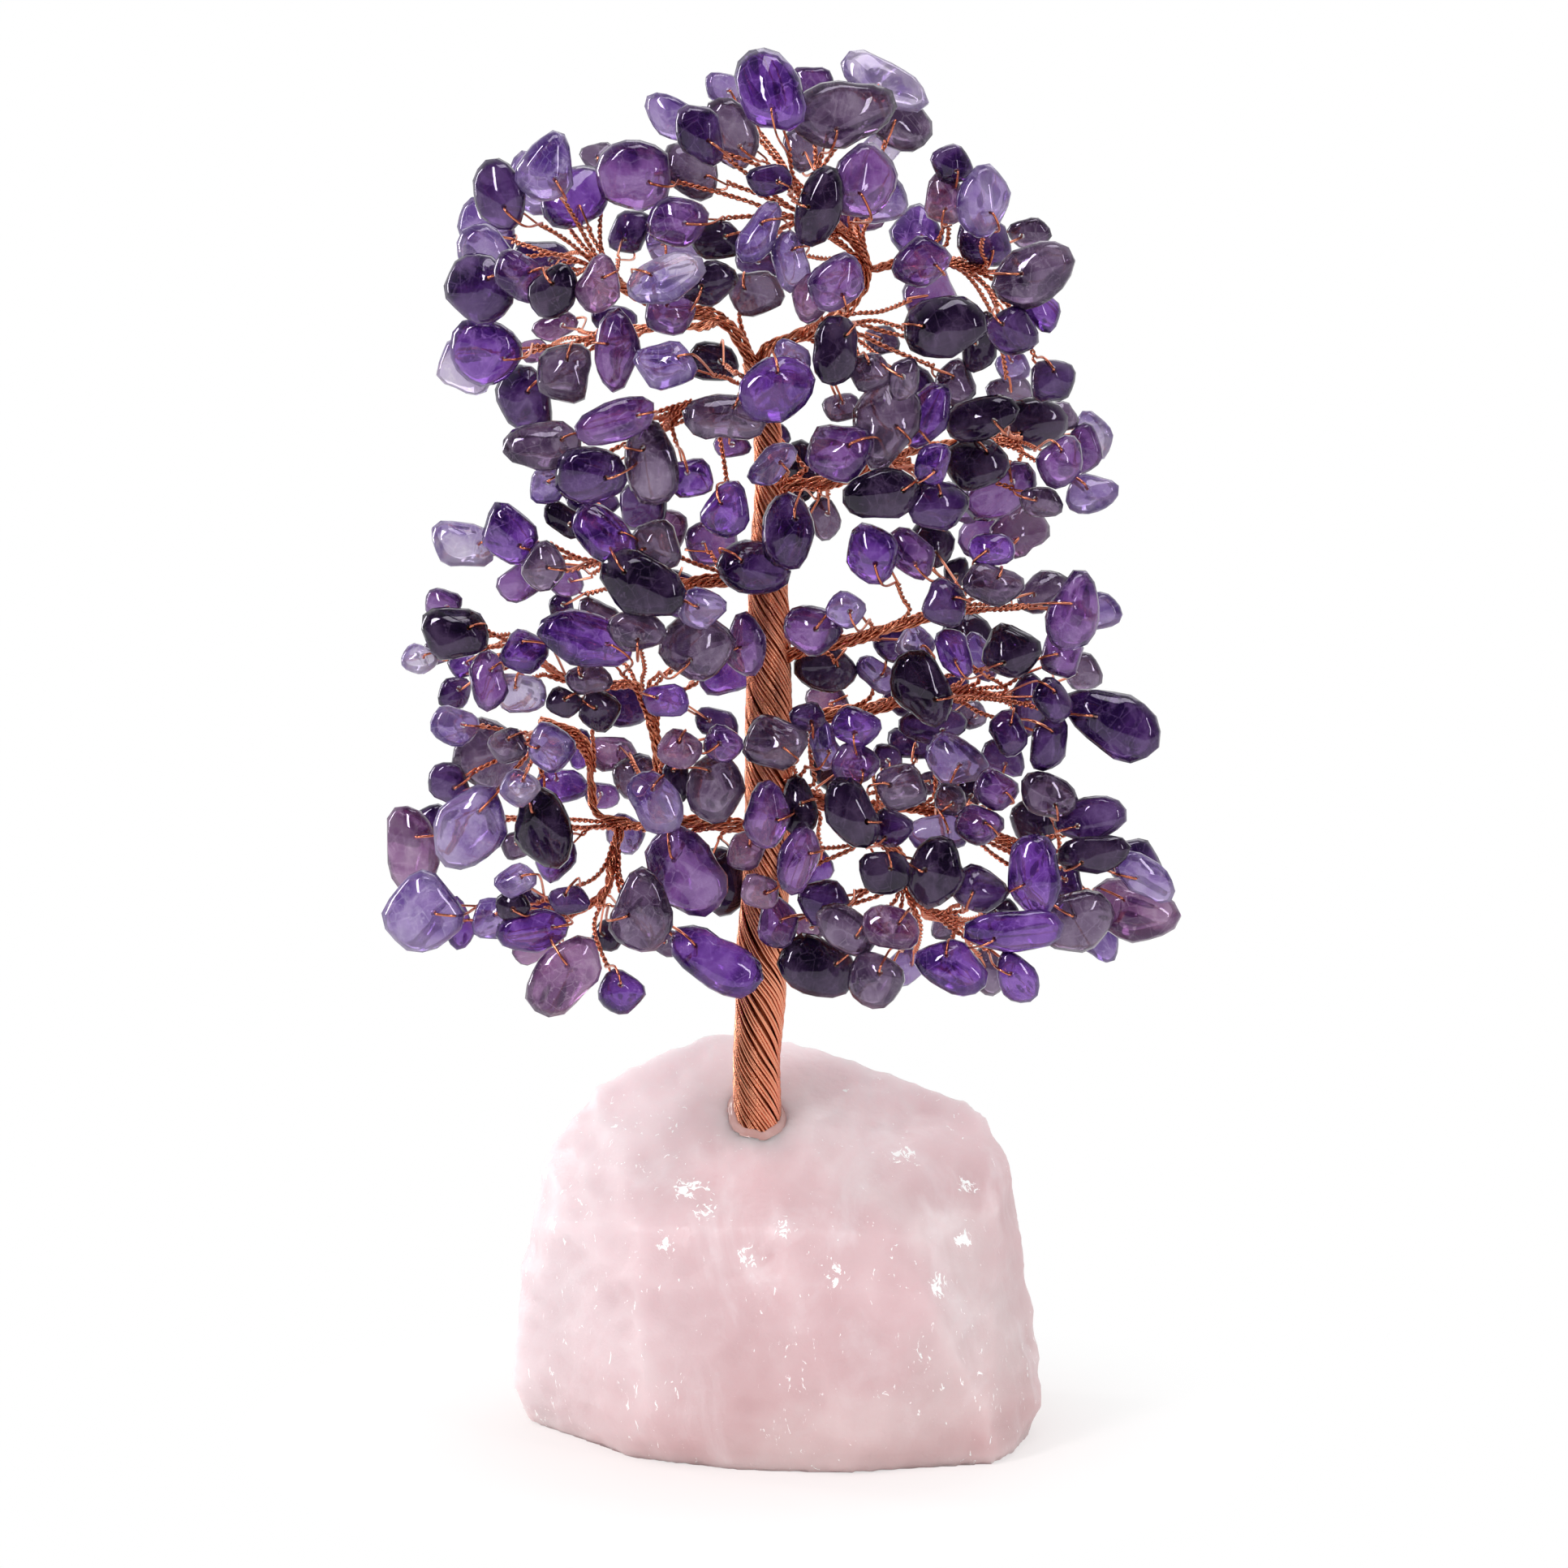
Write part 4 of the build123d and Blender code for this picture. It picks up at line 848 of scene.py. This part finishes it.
def is_flat(face):
    """Whether a face of the pebble is one of the two that have a corner for each side."""
    return len(face.verts) == PEBBLE_SIDES


def corner_reach(corner):
    """How far out from the pebble's middle a corner lies."""
    return math.hypot(corner[0], corner[1])


def is_mouth(edge):
    """Whether an edge of the pebble lies on the hole."""
    return all(corner_reach(corner.co) < MOUTH_REACH for corner in edge.verts)


def select_where(piece, elements, test):
    """Selects the faces or edges that pass a test, in edit mode."""
    shape = bmesh.from_edit_mesh(piece.data)
    for element in getattr(shape, elements):
        element.select = test(element)
    bmesh.update_edit_mesh(piece.data)


def model_drilled_pebble():
    """One drilled pebble, its faces stepped in from the rim to the hole, as the pattern for all."""
    bpy.ops.mesh.primitive_cylinder_add(
        vertices=PEBBLE_SIDES, radius=PEBBLE_STEPS[0], depth=1.0, end_fill_type="NGON"
    )
    pebble = bpy.context.object
    pebble.name = "drilled_pebble"
    bpy.ops.object.mode_set(mode="EDIT")
    bpy.ops.mesh.select_mode(type="FACE")
    for side in (1, -1):
        for outer, inner in zip(PEBBLE_STEPS, PEBBLE_STEPS[1:]):
            bpy.ops.mesh.select_all(action="DESELECT")
            select_where(pebble, "faces", lambda face: is_flat(face) and face.normal.z * side > 0)
            bpy.ops.mesh.inset(thickness=(outer - inner) * math.cos(math.pi / PEBBLE_SIDES))
    select_where(pebble, "faces", is_flat)
    bpy.ops.mesh.bridge_edge_loops()
    select_where(pebble, "edges", is_mouth)
    bpy.ops.mesh.mark_sharp()
    bpy.ops.object.mode_set(mode="OBJECT")
    bpy.ops.object.shade_smooth()
    return pebble


def shape_stone(pattern, stone):
    """The pattern's corners moved to a stone's own outline, thickness and hole."""
    shaped = []
    for corner in pattern:
        turn = math.atan2(corner[1], corner[0]) % math.tau
        share = (corner_reach(corner) - PEBBLE_STEPS[-1]) / (PEBBLE_STEPS[0] - PEBBLE_STEPS[-1])
        rim = stone.outline(turn / math.tau)
        mouth = stone.hole + unit(rim - stone.hole) * HOLE_RADIUS
        place = mouth + (rim - mouth) * share
        height = max(stone.crown_height(place), stone.thickness * RIM_EDGE)
        if share < HOLE_SHARE:
            height -= HOLE_DIP
        point = stone.at(place, math.copysign(height, corner[2]))
        lump = noise.noise(Vector(point) * LUMP_FREQUENCY)
        shaped.append(point + (point - stone.centre) * lump * LUMP_SIZE)
    return np.clip(shaped, CAD_LOW, CAD_HIGH)


def build_chips(name, stones, pebble):
    """All the chips of one bough, each copied from the pattern and shaped to its place."""
    pattern = [tuple(vertex.co) for vertex in pebble.data.vertices]
    shaded_rims = np.array([corner_reach(corner) > RIM_REACH for corner in pattern])
    chance = random.Random(name)
    copies = []
    for number, stone in enumerate(stones):
        mesh = pebble.data.copy()
        shaped = np.array(shape_stone(pattern, stone), dtype=np.float32)
        mesh.vertices.foreach_set("co", shaped.ravel())
        # Painted light: each chip is painted lighter towards one side, as light glowing through it, and
        # darker at its rim, as painted shade
        way = unit(any_way(chance) + GLOW_WAY)
        glow_and_rim_shade = mesh.attributes.new("glow_and_rim_shade", "FLOAT", "POINT")
        drift = (shaped - stone.centre) @ way / stone.reach.max() - RIM_SHADE * shaded_rims
        glow_and_rim_shade.data.foreach_set("value", drift.astype(np.float32))
        for material in TONE_MATERIALS:
            mesh.materials.append(material)
        tones = np.full(len(mesh.polygons), TONE_NAMES.index(stone.tone), dtype=np.int32)
        mesh.polygons.foreach_set("material_index", tones)
        mesh.update()
        copies.append(placed(f"{name}_chip_{number}", mesh))
    make_active(*copies)
    bpy.ops.object.join()
    chips = bpy.context.object
    chips.name = name + "_amethyst_chips"
    edit_whole(chips, bpy.ops.mesh.normals_make_consistent, inside=False)
    finish_piece(chips, "amethyst", name + "_chips")


# Lines of wire


def rounded_line(points):
    """A bent line with its corners cut again and again until it runs smoothly."""
    line = np.array(points)
    for _ in range(LINE_ROUNDS):
        early = line[:-1] * 0.75 + line[1:] * 0.25
        late = line[:-1] * 0.25 + line[1:] * 0.75
        inner = np.stack((early, late), axis=1).reshape(-1, 3)
        line = np.vstack((line[:1], inner, line[-1:]))
    return line


def stepped_line(line, step):
    """A line's points set out again at even steps."""
    lengths = np.cumsum(step_lengths(line))
    count = max(3, round(lengths[-1] / step) + 1)
    marks = np.linspace(0, lengths[-1], count)
    return np.stack([np.interp(marks, lengths, line[:, k]) for k in range(3)], axis=1)


def carried_axes(line):
    """Two directions square to a line, carried along it without twisting."""
    ways = np.gradient(line, axis=0)
    ways /= np.linalg.norm(ways, axis=1)[:, None]
    side = unit(np.cross(ways[0], (0.21, 0.36, 0.9)))
    sides = []
    for way in ways:
        side = unit(side - way * (side @ way))
        sides.append(side)
    sides = np.array(sides)
    return sides, np.cross(ways, sides)


def laid_strand(line, radii, phase, turns):
    """One strand laid round a middle line: how far out and how far round at each point."""
    sides, others = carried_axes(line)
    angles = phase + turns
    out = sides * np.cos(angles)[:, None] + others * np.sin(angles)[:, None]
    return line + out * np.broadcast_to(radii, len(line))[:, None]


def twisted_pair(line, phase, opening, pitch=PAIR_PITCH):
    """Two strands twisted round a middle line."""
    turns = -math.tau * np.cumsum(step_lengths(line)) / pitch
    return [laid_strand(line, opening, phase + start, turns) for start in (0, math.pi)]


def wire_piece(name, lines, radius, material, resolution, *replaced, taper=None):
    """Round wires along several lines, made one mesh. A taper gives the thickness along them."""
    curve = bpy.data.curves.new(name, "CURVE")
    curve.dimensions = "3D"
    curve.bevel_depth = radius
    curve.bevel_resolution = resolution
    curve.use_fill_caps = True
    for line in lines:
        spline = curve.splines.new("POLY")
        spline.points.add(len(line) - 1)
        flat = np.hstack((line, np.ones((len(line), 1))))
        spline.points.foreach_set("co", flat.astype(np.float32).ravel())
        if taper is not None:
            spline.points.foreach_set("radius", taper.astype(np.float32))
    make_active(placed(name, curve))
    bpy.ops.object.convert(target="MESH")
    wires = bpy.context.object
    bpy.ops.object.shade_smooth()
    wires.data.materials.append(material)
    finish_piece(wires, "copper_wire", *replaced)
    return wires


def mark_groove_shade(wires, middles, outers, depth):
    """Marks each corner of a wire piece for painted shade: 1 where it stands out from its bundle, 0 deep
    inside, where the copper is painted darkest.
    """
    middles = np.vstack(middles)
    outers = np.broadcast_to(outers, len(middles))
    tree = kdtree.KDTree(len(middles))
    for number, point in enumerate(middles):
        tree.insert(point, number)
    tree.balance()
    marks = []
    for vertex in wires.data.vertices:
        _, number, distance = tree.find(vertex.co)
        marks.append(min(1.0, max(0.0, 1 - (outers[number] - distance) / depth)))
    groove_shade = wires.data.attributes.new("groove_shade", "FLOAT", "POINT")
    groove_shade.data.foreach_set("value", marks)


# The twisted pairs


def loop_over(stone, rim_way, rim, side, slack):
    """One leg of a pair: from the chip's rim over one face and down into the hole."""
    points = []
    for share in LEG_SHARES:
        place = stone.hole + rim_way * rim * share
        height = stone.crown_height(place) + PAIR_STRAND * LEG_LIFT * slack
        points.append(stone.at(place, side * height))
    mouth = stone.crown_height(stone.hole)
    points.append(stone.at(stone.hole, side * (mouth + PAIR_STRAND * LEG_LIFT)))
    return points + [stone.hole_centre]


def pair_lines(stone, line, chance):
    """The two strands of a pair: twisted from the bough, parted round the chip, in at both mouths."""
    hole = stone.hole_centre
    side = math.copysign(1.0, (stone.bend - hole) @ stone.axis)
    flat = np.array(((stone.foot - hole) @ stone.across, (stone.foot - hole) @ stone.along))
    far = np.linalg.norm(flat)
    rim_way = flat / far
    rim = stone.rim_distance(rim_way)
    if far > rim + PAIR_END_GAP * FREE_RUN:
        joint = stone.bend + (stone.foot - stone.bend) * (rim + PAIR_END_GAP) / far
    else:
        joint = stone.bend + (stone.foot - stone.bend) * CLOSE_JOINT
        rim_way, rim = stone.nearest_rim()
    nearest = np.linalg.norm(line - stone.foot, axis=1).argmin()
    early, late = (line[max(0, nearest - steps)] for steps in LEAD_STEPS)
    away = (stone.foot - line[nearest]) * LEAD_LIFT
    run = joint - stone.foot
    bow = unit(np.cross(run, any_way(chance))) * np.linalg.norm(run) * chance.uniform(*BOW_SHARES)
    ahead = (stone.foot + run * RUN_START, stone.foot + run / 2 + bow, joint)
    middle = rounded_line((early + away * EARLY_LIFT, late + away) + ahead)
    middle = stepped_line(middle, PAIR_STEP)
    parting = np.clip(np.linspace(-PARTING_DELAY, 1, len(middle)), 0, 1)
    opening = PAIR_STRAND * (1 + PARTING * parting)
    strands = []
    slack = 1 + LEG_SLACK * chance.random() ** 3
    for strand, leg_side in zip(twisted_pair(middle, chance.uniform(*PHASES), opening), (side, -side)):
        outside = stone.at(stone.hole + rim_way * (rim + PAIR_STRAND * RIM_LIFT * slack), 0.0)
        if leg_side == side:
            leg = [strand[-1], stone.bend, stone.at(stone.hole, side * stone.thickness), hole]
        else:
            leg = [strand[-1], outside] + loop_over(stone, rim_way, rim, leg_side, slack)
        wire = np.vstack((strand[:-1], rounded_line(leg)))
        strands.append(np.clip(wire, CAD_LOW + PAIR_STRAND, CAD_HIGH - PAIR_STRAND))
    return strands, middle


def build_pairs(name, stones, line):
    """The twisted pairs of one bough."""
    chance = random.Random(name)
    lines, middles = [], []
    for stone in stones:
        strands, middle = pair_lines(stone, line, chance)
        lines += strands
        middles.append(middle)
    wires = wire_piece(name + "_twisted_pairs", lines, PAIR_STRAND, PAIR_COPPER, 0, name + "_wires")
    mark_groove_shade(wires, middles, PAIR_STRAND * 2, PAIR_STRAND * 2)


# Boughs and trunk


def bough_line(name):
    """A bough's middle line, started inside what it grows from, and its radius."""
    main, path = BOUGH_PATHS[name]
    points = [seen(*place) for place in path]
    return stepped_line(rounded_line(points), BOUGH_STEP), (MAIN_RADIUS if main else SIDE_RADIUS)


def build_bough(name, line, radius):
    """Twisted pairs laid loosely round each other; one after another leaves towards the tip."""
    chance = random.Random(name)
    ring = radius - PAIR_STRAND * 2
    count = BOUGH_PAIRS[BOUGH_PATHS[name][0]]
    marks = np.linspace(0, 1, len(line))
    turns = -np.cumsum(step_lengths(line) * math.tan(BOUGH_LAY) / ring)
    opening = BOUGH_STRAND
    thinning = np.clip((marks - THINNING_START) / (1 - THINNING_START), 0, 1) ** THINNING_CURVE
    closing = ring * (1 - THINNING * thinning)
    lines, middles = twisted_pair(line, 0.0, opening, BOUGH_PITCH), [line]
    for k in range(count):
        phase = math.tau * (k + chance.uniform(-BOUGH_UNEVEN, BOUGH_UNEVEN)) / count
        wave = np.sin(marks * chance.uniform(*BOUGH_WAVES) + chance.uniform(*PHASES))
        way = laid_strand(line, closing * (1 + WAVE_OUT * wave), phase, turns + WAVE_ROUND * wave)
        way = way[: round(len(line) * (1 - EARLY_END * chance.random() * (k % 2)))]
        phase, pitch = chance.uniform(*PHASES), BOUGH_PITCH * chance.uniform(*PITCH_SPREAD)
        lines += twisted_pair(way, phase, opening, pitch)
        middles.append(way)
    wires = wire_piece(name + "_bundle", lines, opening, BOUGH_COPPER, 1, name + "_bough")
    mark_groove_shade(wires, middles, opening * 2, opening * 2)


def build_trunk():
    """The trunk: strands laid side by side round a core, closing in as the boughs leave."""
    rings = trunk_rings()
    line = stepped_line(np.array([middle for middle, _ in rings]), TRUNK_STEP)
    radii = np.interp(line[:, 2], [middle[2] for middle, _ in rings], [radius for _, radius in rings])
    turns = -np.cumsum(step_lengths(line) * math.tan(TRUNK_LAY) / radii)
    chance = random.Random(TRUNK_SEED)
    room = math.tau * (radii - TRUNK_STRAND) * math.cos(TRUNK_LAY) / (2 * TRUNK_STRAND)
    crowding = np.clip((TRUNK_STRANDS - room) / (TRUNK_STRANDS / 2), 0, 1)
    lines = []
    for k in range(TRUNK_STRANDS):
        phase = math.tau * (k + chance.uniform(-TRUNK_UNEVEN, TRUNK_UNEVEN)) / TRUNK_STRANDS
        wander = np.linspace(0, chance.uniform(*WANDER_TURNS), len(line)) + chance.uniform(*PHASES)
        depth = TRUNK_STRAND * (1.0 + chance.uniform(0.0, STRAND_SINK))
        if k % 2:
            depth = depth + crowding * TRUNK_STRAND * 2
        lines.append(laid_strand(line, radii - depth, phase, turns + WANDER * np.sin(wander)))
    wires = wire_piece("trunk_twisted_bundle", lines, TRUNK_STRAND, TRUNK_COPPER, 1, "trunk_bundle")
    # The core under the strands is painted dark, as the shade that fills the gaps between them
    taper = (radii - TRUNK_STRAND * CORE_INSET) / MM
    core = wire_piece("trunk_core", [line], MM, SHADED_CORE_COPPER, 4, taper=taper)
    for piece in (wires, core):
        mark_groove_shade(piece, [line], radii, TRUNK_SHADE_DEPTH)


# The base and its glue


def broken_height(point, normal):
    """How far the broken stone stands out at a point: shallow scars with ridges between them."""
    rise = noise.noise(point * ROCK_SWELL[0]) * ROCK_SWELL[1]
    for cell, size, depth_share in ROCK_SCARS:
        distances, _ = noise.voronoi(Vector((point.x, point.y * depth_share, point.z)) / cell)
        rise += (distances[0] - SCAR_LEVEL) * size * (1 - (1 - depth_share) * abs(normal.y))
    return rise + noise.fractal(point * ROCK_GRAIN[0], 1.0, 2.0, 3) * ROCK_GRAIN[1]


def build_base():
    """The rough block: the CAD's block broken into facets, chipped along its edges."""
    base = nodes["rose_quartz_base"].copy()
    base.data = nodes["rose_quartz_base"].data.copy()
    base.name = "rose_quartz_block"
    bpy.context.scene.collection.objects.link(base)
    edit_whole(base, bpy.ops.mesh.remove_doubles, threshold=MERGE)
    remesh = base.modifiers.new("remesh", "REMESH")
    remesh.mode = "VOXEL"
    remesh.voxel_size = ROCK_VOXEL
    bpy.ops.object.modifier_apply(modifier=remesh.name)
    smooth = base.modifiers.new("smooth", "SMOOTH")
    smooth.iterations = ROCK_WEAR
    bpy.ops.object.modifier_apply(modifier=smooth.name)
    lowest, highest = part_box("rose_quartz_base")
    normals = [Vector(vertex.normal) for vertex in base.data.vertices]
    for vertex, normal in zip(base.data.vertices, normals):
        point = vertex.co.copy()
        above = (point.z - lowest[2]) / ROCK_FOOT[0]
        chipped = 0.0
        if above < 1 and normal.z > DOWNWARD:
            normal = normal.lerp(Vector((normal.x, normal.y, 0)).normalized(), 1 - above)
            distances, _ = noise.voronoi(Vector((point.x, point.y, 0)) / ROCK_FOOT[0])
            chipped = distances[0] * ROCK_FOOT[1] * (1 - above)
        shift = normal * broken_height(point, normal)
        shift.z = shift.z * min(1.0, above * 2) + chipped
        point += shift
        for k in range(3):
            least = lowest[k] + (ROCK_MARGIN if k < 2 else 0)
            point[k] = min(max(point[k], least), highest[k] - ROCK_MARGIN)
        vertex.co = point
    base.data.update()
    bpy.ops.object.shade_smooth_by_angle(angle=ROCK_CREASE)
    spots = []
    for right, up, reach in GLINT_PLACES:
        aim = Vector(seen(right, up, 0))
        hit, place, _, _ = base.ray_cast(EYE, (aim - EYE).normalized())
        if hit:
            spots.append((place, reach * MM))
    base.data.materials.clear()
    base.data.materials.append(rose_quartz(spots, trunk_rings()[0][0]))
    finish_piece(base, "rose_quartz", "rose_quartz_base")
    return base


def build_glue(base):
    """The glue: an uneven glossy bead drawn up round the trunk's foot, out over the socket's rim."""
    foot, radius = trunk_rings()[0]
    middle = Vector((foot[0], foot[1], 0))
    chance = random.Random(GLUE_SEED)
    shape = bmesh.new()
    rings = []
    for k in range(GLUE_STEPS):
        angle = math.tau * k / GLUE_STEPS
        way = Vector((math.cos(angle), math.sin(angle), 0))
        sway = 1 + GLUE_SWAY * noise.noise(way * GLUE_WAVES)
        spill = GLUE_REACH * (sway + GLUE_ROUGH * chance.uniform(-1, 1))
        above = middle + way * (radius + spill) + Vector((0, 0, cad_high.z))
        _, place, _, _ = base.ray_cast(above, Vector((0, 0, -1)))
        ring = []
        for share, extra, rise in GLUE_SECTION:
            out = way * (radius + spill * share + extra * MM)
            ring.append(shape.verts.new(middle + out + Vector((0, 0, place.z + rise * MM))))
        rings.append(ring)
    for here, there in zip(rings, rings[1:] + rings[:1]):
        for k in range(len(here)):
            after = (k + 1) % len(here)
            shape.faces.new((here[k], here[after], there[after], there[k]))
    bmesh.ops.recalc_face_normals(shape, faces=shape.faces)
    mesh = bpy.data.meshes.new("glue_collar")
    shape.to_mesh(mesh)
    shape.free()
    glue = placed("glue_collar", mesh)
    make_active(glue)
    bpy.ops.object.shade_smooth()
    glue.data.materials.append(clear_glue())
    finish_piece(glue, "clear_glue", "setting_glue")


# The studio


def gloss_dimming(add, path):
    """How strongly the white background shows: a little less in what gloss reflects."""
    return worked(add, "MULTIPLY_ADD", path["Is Glossy Ray"], GLOSS_BACKDROP - 1, 1.0)


def floor_material():
    """White paper: it takes the object's shadow nearby, is painted darker and pinker near the object as
    painted shadow and pink light from the stone, and is plain white further out.
    """
    material, add, link = new_material("studio_floor", {"Roughness": 0.7, "Specular IOR Level": 0.1})
    distance = add("ShaderNodeVectorMath", {0: own_place(add)}, operation="LENGTH").outputs["Value"]
    link(ramp(add, distance, *zip(PAINTED_SHADOW_TURN, (PAINTED_SHADOW_PAPER, FAR_PAPER))), "Base Color")
    path = add("ShaderNodeLightPath").outputs
    rays = worked(add, "MAXIMUM", path["Is Camera Ray"], path["Is Glossy Ray"])
    rays = worked(add, "MAXIMUM", rays, path["Is Transmission Ray"])
    share = worked(add, "MULTIPLY", rays, fade(add, distance, *WHITE_TURN, FLOOR_WHITE, 1.0))
    glow = add("ShaderNodeEmission", {"Color": (1, 1, 1, 1), "Strength": gloss_dimming(add, path)})
    tree = material.node_tree
    paper = tree.nodes["Principled BSDF"].outputs["BSDF"]
    mix = add("ShaderNodeMixShader", {0: share, 1: paper, 2: glow.outputs[0]})
    tree.links.new(mix.outputs[0], tree.nodes["Material Output"].inputs["Surface"])
    return material


def build_world():
    """A white world, dimmer behind the camera in what gloss and glass show."""
    world = bpy.data.worlds.new("studio_world")
    world.use_nodes = True
    bpy.context.scene.world = world
    add = node_adder(world.node_tree)
    path = add("ShaderNodeLightPath").outputs
    way = add("ShaderNodeTexCoord").outputs["Generated"]
    depth = add("ShaderNodeSeparateXYZ", {0: way}).outputs["Y"]
    room = fade(add, depth, *ROOM_TURN, ROOM_LEVEL, 1.0)
    room = worked(add, "MULTIPLY", room, gloss_dimming(add, path))
    shown = worked(add, "MAXIMUM", path["Is Glossy Ray"], path["Is Transmission Ray"])
    level = add("ShaderNodeMix", {0: shown, 2: WORLD_LEVEL, 3: room}).outputs[0]
    level = worked(add, "MAXIMUM", path["Is Camera Ray"], level)
    background = world.node_tree.nodes["Background"].inputs
    background["Color"].default_value = (1, 1, 1, 1)
    world.node_tree.links.new(level, background["Strength"])


def build_studio():
    """The floor, the lamps, the white world and the camera."""
    bpy.ops.mesh.primitive_plane_add(size=FLOOR_SIZE, location=(0, 0, 0))
    floor = bpy.context.object
    floor.name = "studio_floor"
    floor.data.materials.append(floor_material())

    for name, place, size, power in LAMPS:
        light = bpy.data.lights.new(name, "AREA")
        light.shape = "RECTANGLE"
        light.size, light.size_y = size
        light.energy = power
        lamp = placed(name, light)
        lamp.location = place
        lamp.rotation_euler = (LAMP_AIM - Vector(place)).to_track_quat("-Z", "Y").to_euler()

    build_world()

    bpy.context.scene.view_settings.view_transform = "Standard"

    lens = bpy.data.cameras.new("camera")
    lens.lens = CAMERA_LENS
    lens.clip_start, lens.clip_end = CAMERA_CLIP
    camera = placed("camera", lens)
    camera.location = EYE
    camera.rotation_euler = (math.pi / 2 - CAMERA_FALL, 0, 0)
    bpy.context.scene.camera = camera


build_studio()
stones_of = {name: read_stones(name) for name in BOUGHS}
give_tones([stone for stones in stones_of.values() for stone in stones])
pebble = model_drilled_pebble()
for name in BOUGHS:
    line, radius = bough_line(name)
    build_bough(name, line, radius)
    build_pairs(name, stones_of[name], line)
    build_chips(name, stones_of[name], pebble)
bpy.data.objects.remove(pebble)
build_trunk()
build_glue(build_base())
